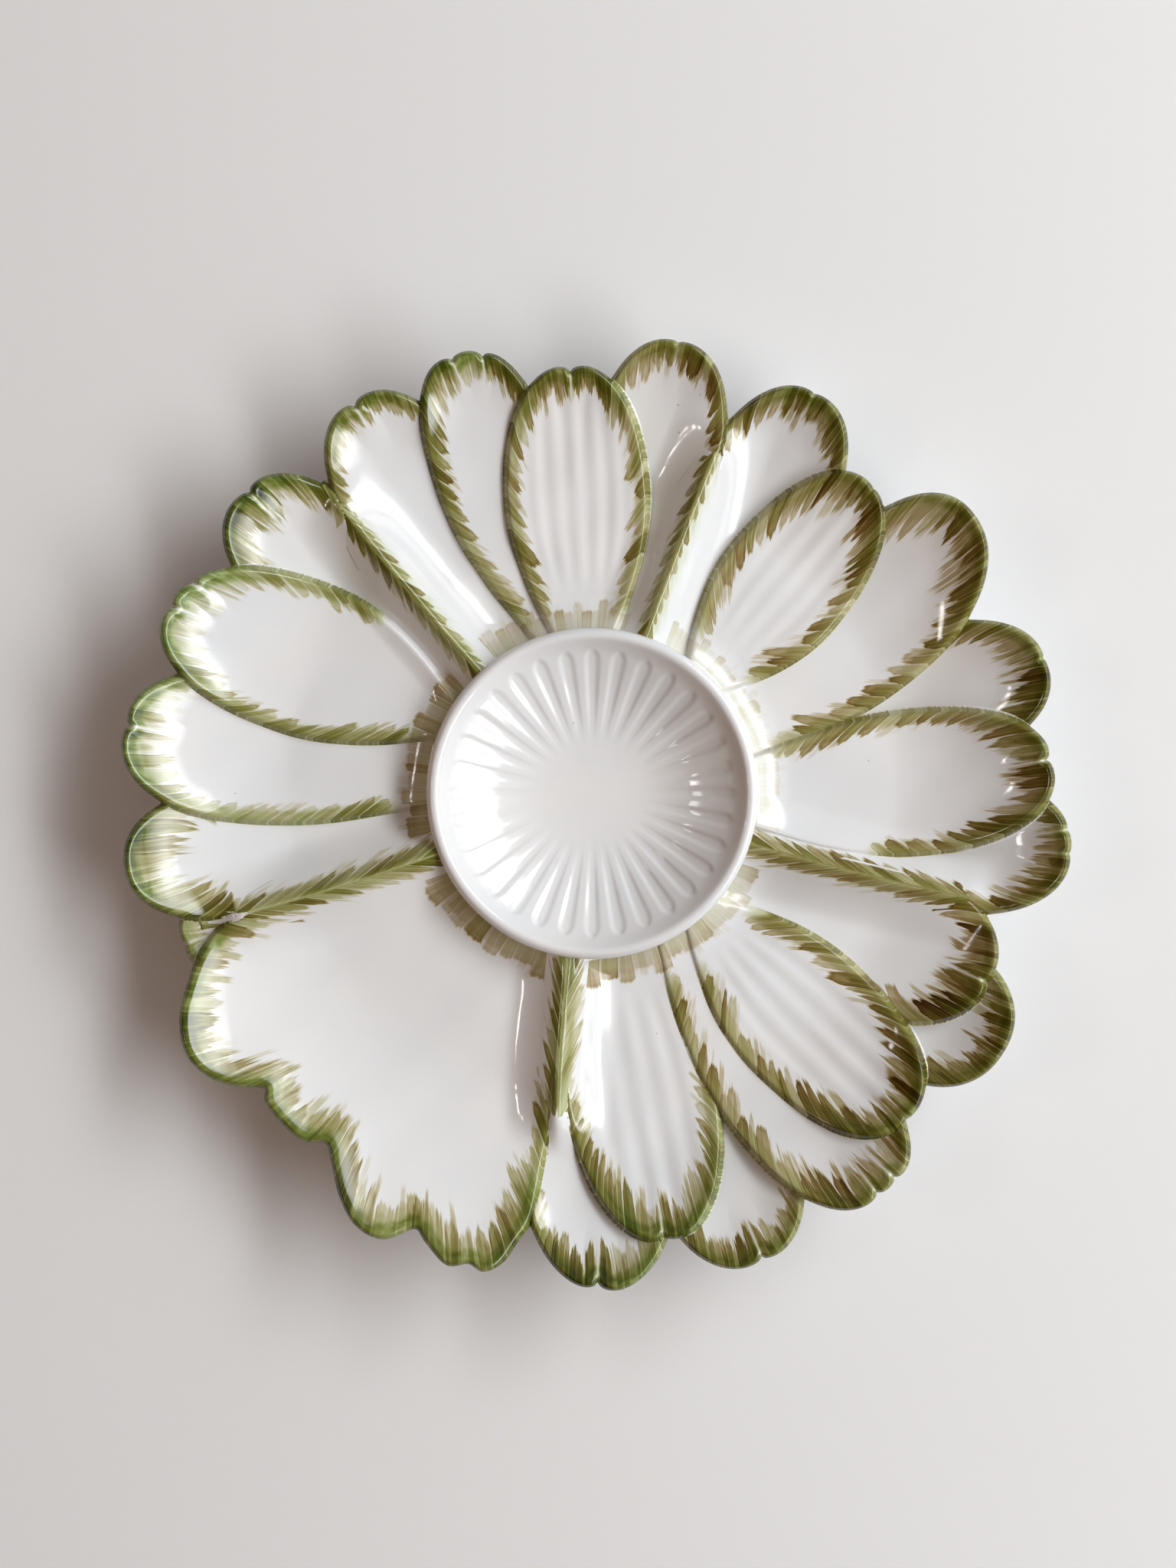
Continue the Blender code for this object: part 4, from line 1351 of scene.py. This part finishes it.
def grown_piece(name, mesh, tree, sizes):
    """Plain mesh that a Geometry Nodes tree makes from a mesh round the origin, on the well's axis."""
    source = add_object(name + "_source", mesh)
    nodes = source.modifiers.new("nodes", "NODES")
    nodes.node_group = tree
    for item in tree.interface.items_tree:
        if item.in_out == "INPUT" and item.name in sizes:
            nodes[item.identifier] = sizes[item.name]
    graph = bpy.context.evaluated_depsgraph_get()
    made = bpy.data.meshes.new_from_object(source.evaluated_get(graph), depsgraph=graph)
    source.modifiers.remove(nodes)
    bpy.data.objects.remove(source)
    made.transform(Matrix.Translation((AXIS.x, AXIS.y, 0)))
    made.name = name
    close_mesh(made)
    return add_object(name, made)


def turned_mesh(name, section, segments):
    """Closed mesh turned round the origin from a section of (radius, height) in millimetres."""
    angle = np.linspace(0, 2 * np.pi, segments, endpoint=False)
    radius = np.maximum(section[:, 0], 0)[:, None]
    height = np.repeat(section[:, 1][:, None], segments, axis=1)
    points = np.stack([radius * np.cos(angle), radius * np.sin(angle), height], axis=-1) * MM
    return grid_mesh(name, points, True, {})


def well_piece(material):
    curve = smooth_path(WELL_SECTION, WELL_SECTION_STEPS)
    section = np.column_stack([WELL_RADIUS - curve[:, 0], WELL_TOP - curve[:, 1]])
    base = [(0, UNDERSIDE), (0.5 * WELL_RADIUS, UNDERSIDE), (WELL_RADIUS, UNDERSIDE)]
    mesh = turned_mesh("bowl", np.concatenate([base, section]), FLUTES * FLUTE_COLUMNS)
    return grown_piece("well", mesh, fluted_bowl_tree(), {
        "Flutes": FLUTES, "Depth": FLUTE_DEPTH * MM, "Inner Radius": FLUTE_INNER * MM,
        "Fade": FLUTE_FADE * MM, "Outer Radius": FLUTE_OUTER * MM, "End": FLUTE_END * MM,
        "Finish": material,
    })


def foot_piece(material):
    return grown_piece("foot", bpy.data.meshes.new("ring"), turned_ring_tree(), {
        "Radius": FOOT_RADIUS * MM, "Breadth": FOOT_BREADTH * MM, "Height": FOOT_HEIGHT * MM,
        "Round": FOOT_ROUND * MM, "Segments": FOOT_SEGMENTS, "Finish": material,
    })


def leaf_piece(blade, blades, material):
    grid, depths = leaf_rows(blade, blades)
    brushwork = leaf_strokes(blade, BRUSHES[blade.name], depths)
    return shell_object(blade.name + "_glazed", grid, brushwork, material)


def rib_piece(rib, blades, material):
    """Cap of a rib, closed by a copy of itself further down inside the leaves."""
    top, asides = rib_rows(rib, blades)
    radii = from_axis(top)
    under = top.copy()
    under[..., 2] = np.minimum(top[..., 2] - RIB_CAP_WALL, dish(radii) + RIB_CAP_BASE)
    ring = np.concatenate([top, under[:, ::-1]], axis=1)
    brushwork = {}
    for key, values in rib_strokes(rib, asides, radii).items():
        brushwork[key] = np.concatenate([values, values[:, ::-1]], axis=1)
    brushwork["paint"][:, len(top[0]):, 1] = 0
    return shell_object(rib.name + "_glazed", ring, brushwork, material, wrap=True)


def add_piece(piece, node):
    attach(piece, "root")
    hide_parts(node)


BRUSH_STROKES = brush_stroke_group()
WELL_BAND = well_band_group()
GLAZE_SKIN = glaze_skin_group()

leaf_glaze = painted_glaze("painted leaf glaze", True)
rib_glaze = painted_glaze("painted rib glaze", False)
blades = all_blades()
for blade in blades:
    add_piece(leaf_piece(blade, blades, leaf_glaze), blade.name)
for rib in RIBS:
    add_piece(rib_piece(rib, blades, rib_glaze), rib.name)
add_piece(well_piece(well_glaze()), "well_cup")
add_piece(foot_piece(foot_glaze()), "foot_ring")

# Floor, in metres
FLOOR_SIZE = 3.0
FLOOR_DROP = 0.0001
FLOOR_COLOUR = srgb(221, 221, 221)
FLOOR_ROUGHNESS = 0.8

# Light: sizes in metres, powers in watts, and for the main window in watts a metre of its height
LIT_POINT = Vector((0, 0, 0.02))
WINDOW_PLACE = (1.22, 0.15, 1.12)
WINDOW_LENGTH = 2.7
WINDOW_HEIGHTS = (0.2, 0.4, 0.62)
WINDOW_SET_BACK = 0.05
WINDOW_POWER = 33.4
WINDOW_LIGHT = (0.95, 0.98, 1.0)
LOWER_WINDOW_PLACE = (1.3, 0.15, 0.62)
LOWER_WINDOW_HEIGHT = 0.2
LOWER_WINDOW_POWER = 4
LOWER_WINDOW_LIGHT = (1, 1, 1)
PANE_PLACES = [(-1.5, -0.12, 1.5), (-1.5, 0.1, 1.5), (-1.5, 0.3, 1.5)]
PANE_SIZE = (0.11, 0.13)
PANE_POWER = 1.0
PANE_LIGHT = (1, 0.97, 0.92)
ROOM_AXIS = (0.85, 0.5, 0.15)
ROOM_SPAN = (-0.5, 0.9)
ROOM_DARK = srgb(170, 114, 56)
ROOM_PALE = srgb(204, 209, 215)
ROOM_STRENGTH = 0.43

# Camera, in metres, with its sensor in millimetres
CAMERA_HEIGHT = 0.80
CAMERA_PLACE = (-0.0020, 0.0082)
FRAME_HEIGHT = 0.432
FRAME_LEVEL = 0.024
SENSOR = 24.0


def add_floor():
    mesh = bpy.data.meshes.new("floor")
    half = 0.5 * FLOOR_SIZE
    corners = [(-half, -half), (half, -half), (half, half), (-half, half)]
    mesh.from_pydata([(x, y, -FLOOR_DROP) for x, y in corners], [], [(0, 1, 2, 3)])
    material, _, shader = new_material("floor")
    shader["Base Color"].default_value = FLOOR_COLOUR
    shader["Roughness"].default_value = FLOOR_ROUGHNESS
    mesh.materials.append(material)
    add_object("floor", mesh)


def add_window(name, place, size, power, colour):
    """Soft rectangular light that faces the plate."""
    light = bpy.data.lights.new(name, "AREA")
    light.shape = "RECTANGLE"
    light.size, light.size_y = size
    light.energy = power
    light.color = colour
    lamp = add_object(name, light)
    lamp.location = place
    lamp.rotation_euler = (LIT_POINT - Vector(place)).to_track_quat("-Z", "Y").to_euler()


def add_windows():
    """A window in three sheets, so that it is brightest in its middle; a lower one; and far panes."""
    x, y, z = WINDOW_PLACE
    for height in WINDOW_HEIGHTS:
        place = (x + WINDOW_SET_BACK * height, y, z)
        add_window("window", place, (WINDOW_LENGTH, height), WINDOW_POWER * height, WINDOW_LIGHT)
    lower_size = (WINDOW_LENGTH, LOWER_WINDOW_HEIGHT)
    add_window("lower window", LOWER_WINDOW_PLACE, lower_size, LOWER_WINDOW_POWER, LOWER_WINDOW_LIGHT)
    for place in PANE_PLACES:
        add_window("pane", place, PANE_SIZE, PANE_POWER, PANE_LIGHT)


def add_room():
    """Even light from all round, paler on the window's side."""
    world = bpy.data.worlds.new("room")
    world.use_nodes = True
    bpy.context.scene.world = world
    wire = Wiring(world.node_tree)
    background = next(node for node in wire.tree.nodes if node.type == "BACKGROUND")
    direction = wire.add("ShaderNodeTexCoord").outputs["Generated"]
    towards = wire.add("ShaderNodeVectorMath", {0: direction, 1: ROOM_AXIS}, operation="DOT_PRODUCT")
    side = wire.step(towards.outputs["Value"], *ROOM_SPAN)
    wire.feed(background.inputs["Color"], wire.blend(side, ROOM_DARK, ROOM_PALE))
    background.inputs["Strength"].default_value = ROOM_STRENGTH


def add_camera():
    camera = add_object("camera", bpy.data.cameras.new("camera"))
    camera.location = (*CAMERA_PLACE, CAMERA_HEIGHT)
    camera.data.sensor_fit = "VERTICAL"
    camera.data.sensor_height = SENSOR
    camera.data.lens = SENSOR * (CAMERA_HEIGHT - FRAME_LEVEL) / FRAME_HEIGHT
    bpy.context.scene.camera = camera


add_floor()
add_room()
add_windows()
add_camera()
bpy.context.scene.view_settings.view_transform = "Standard"
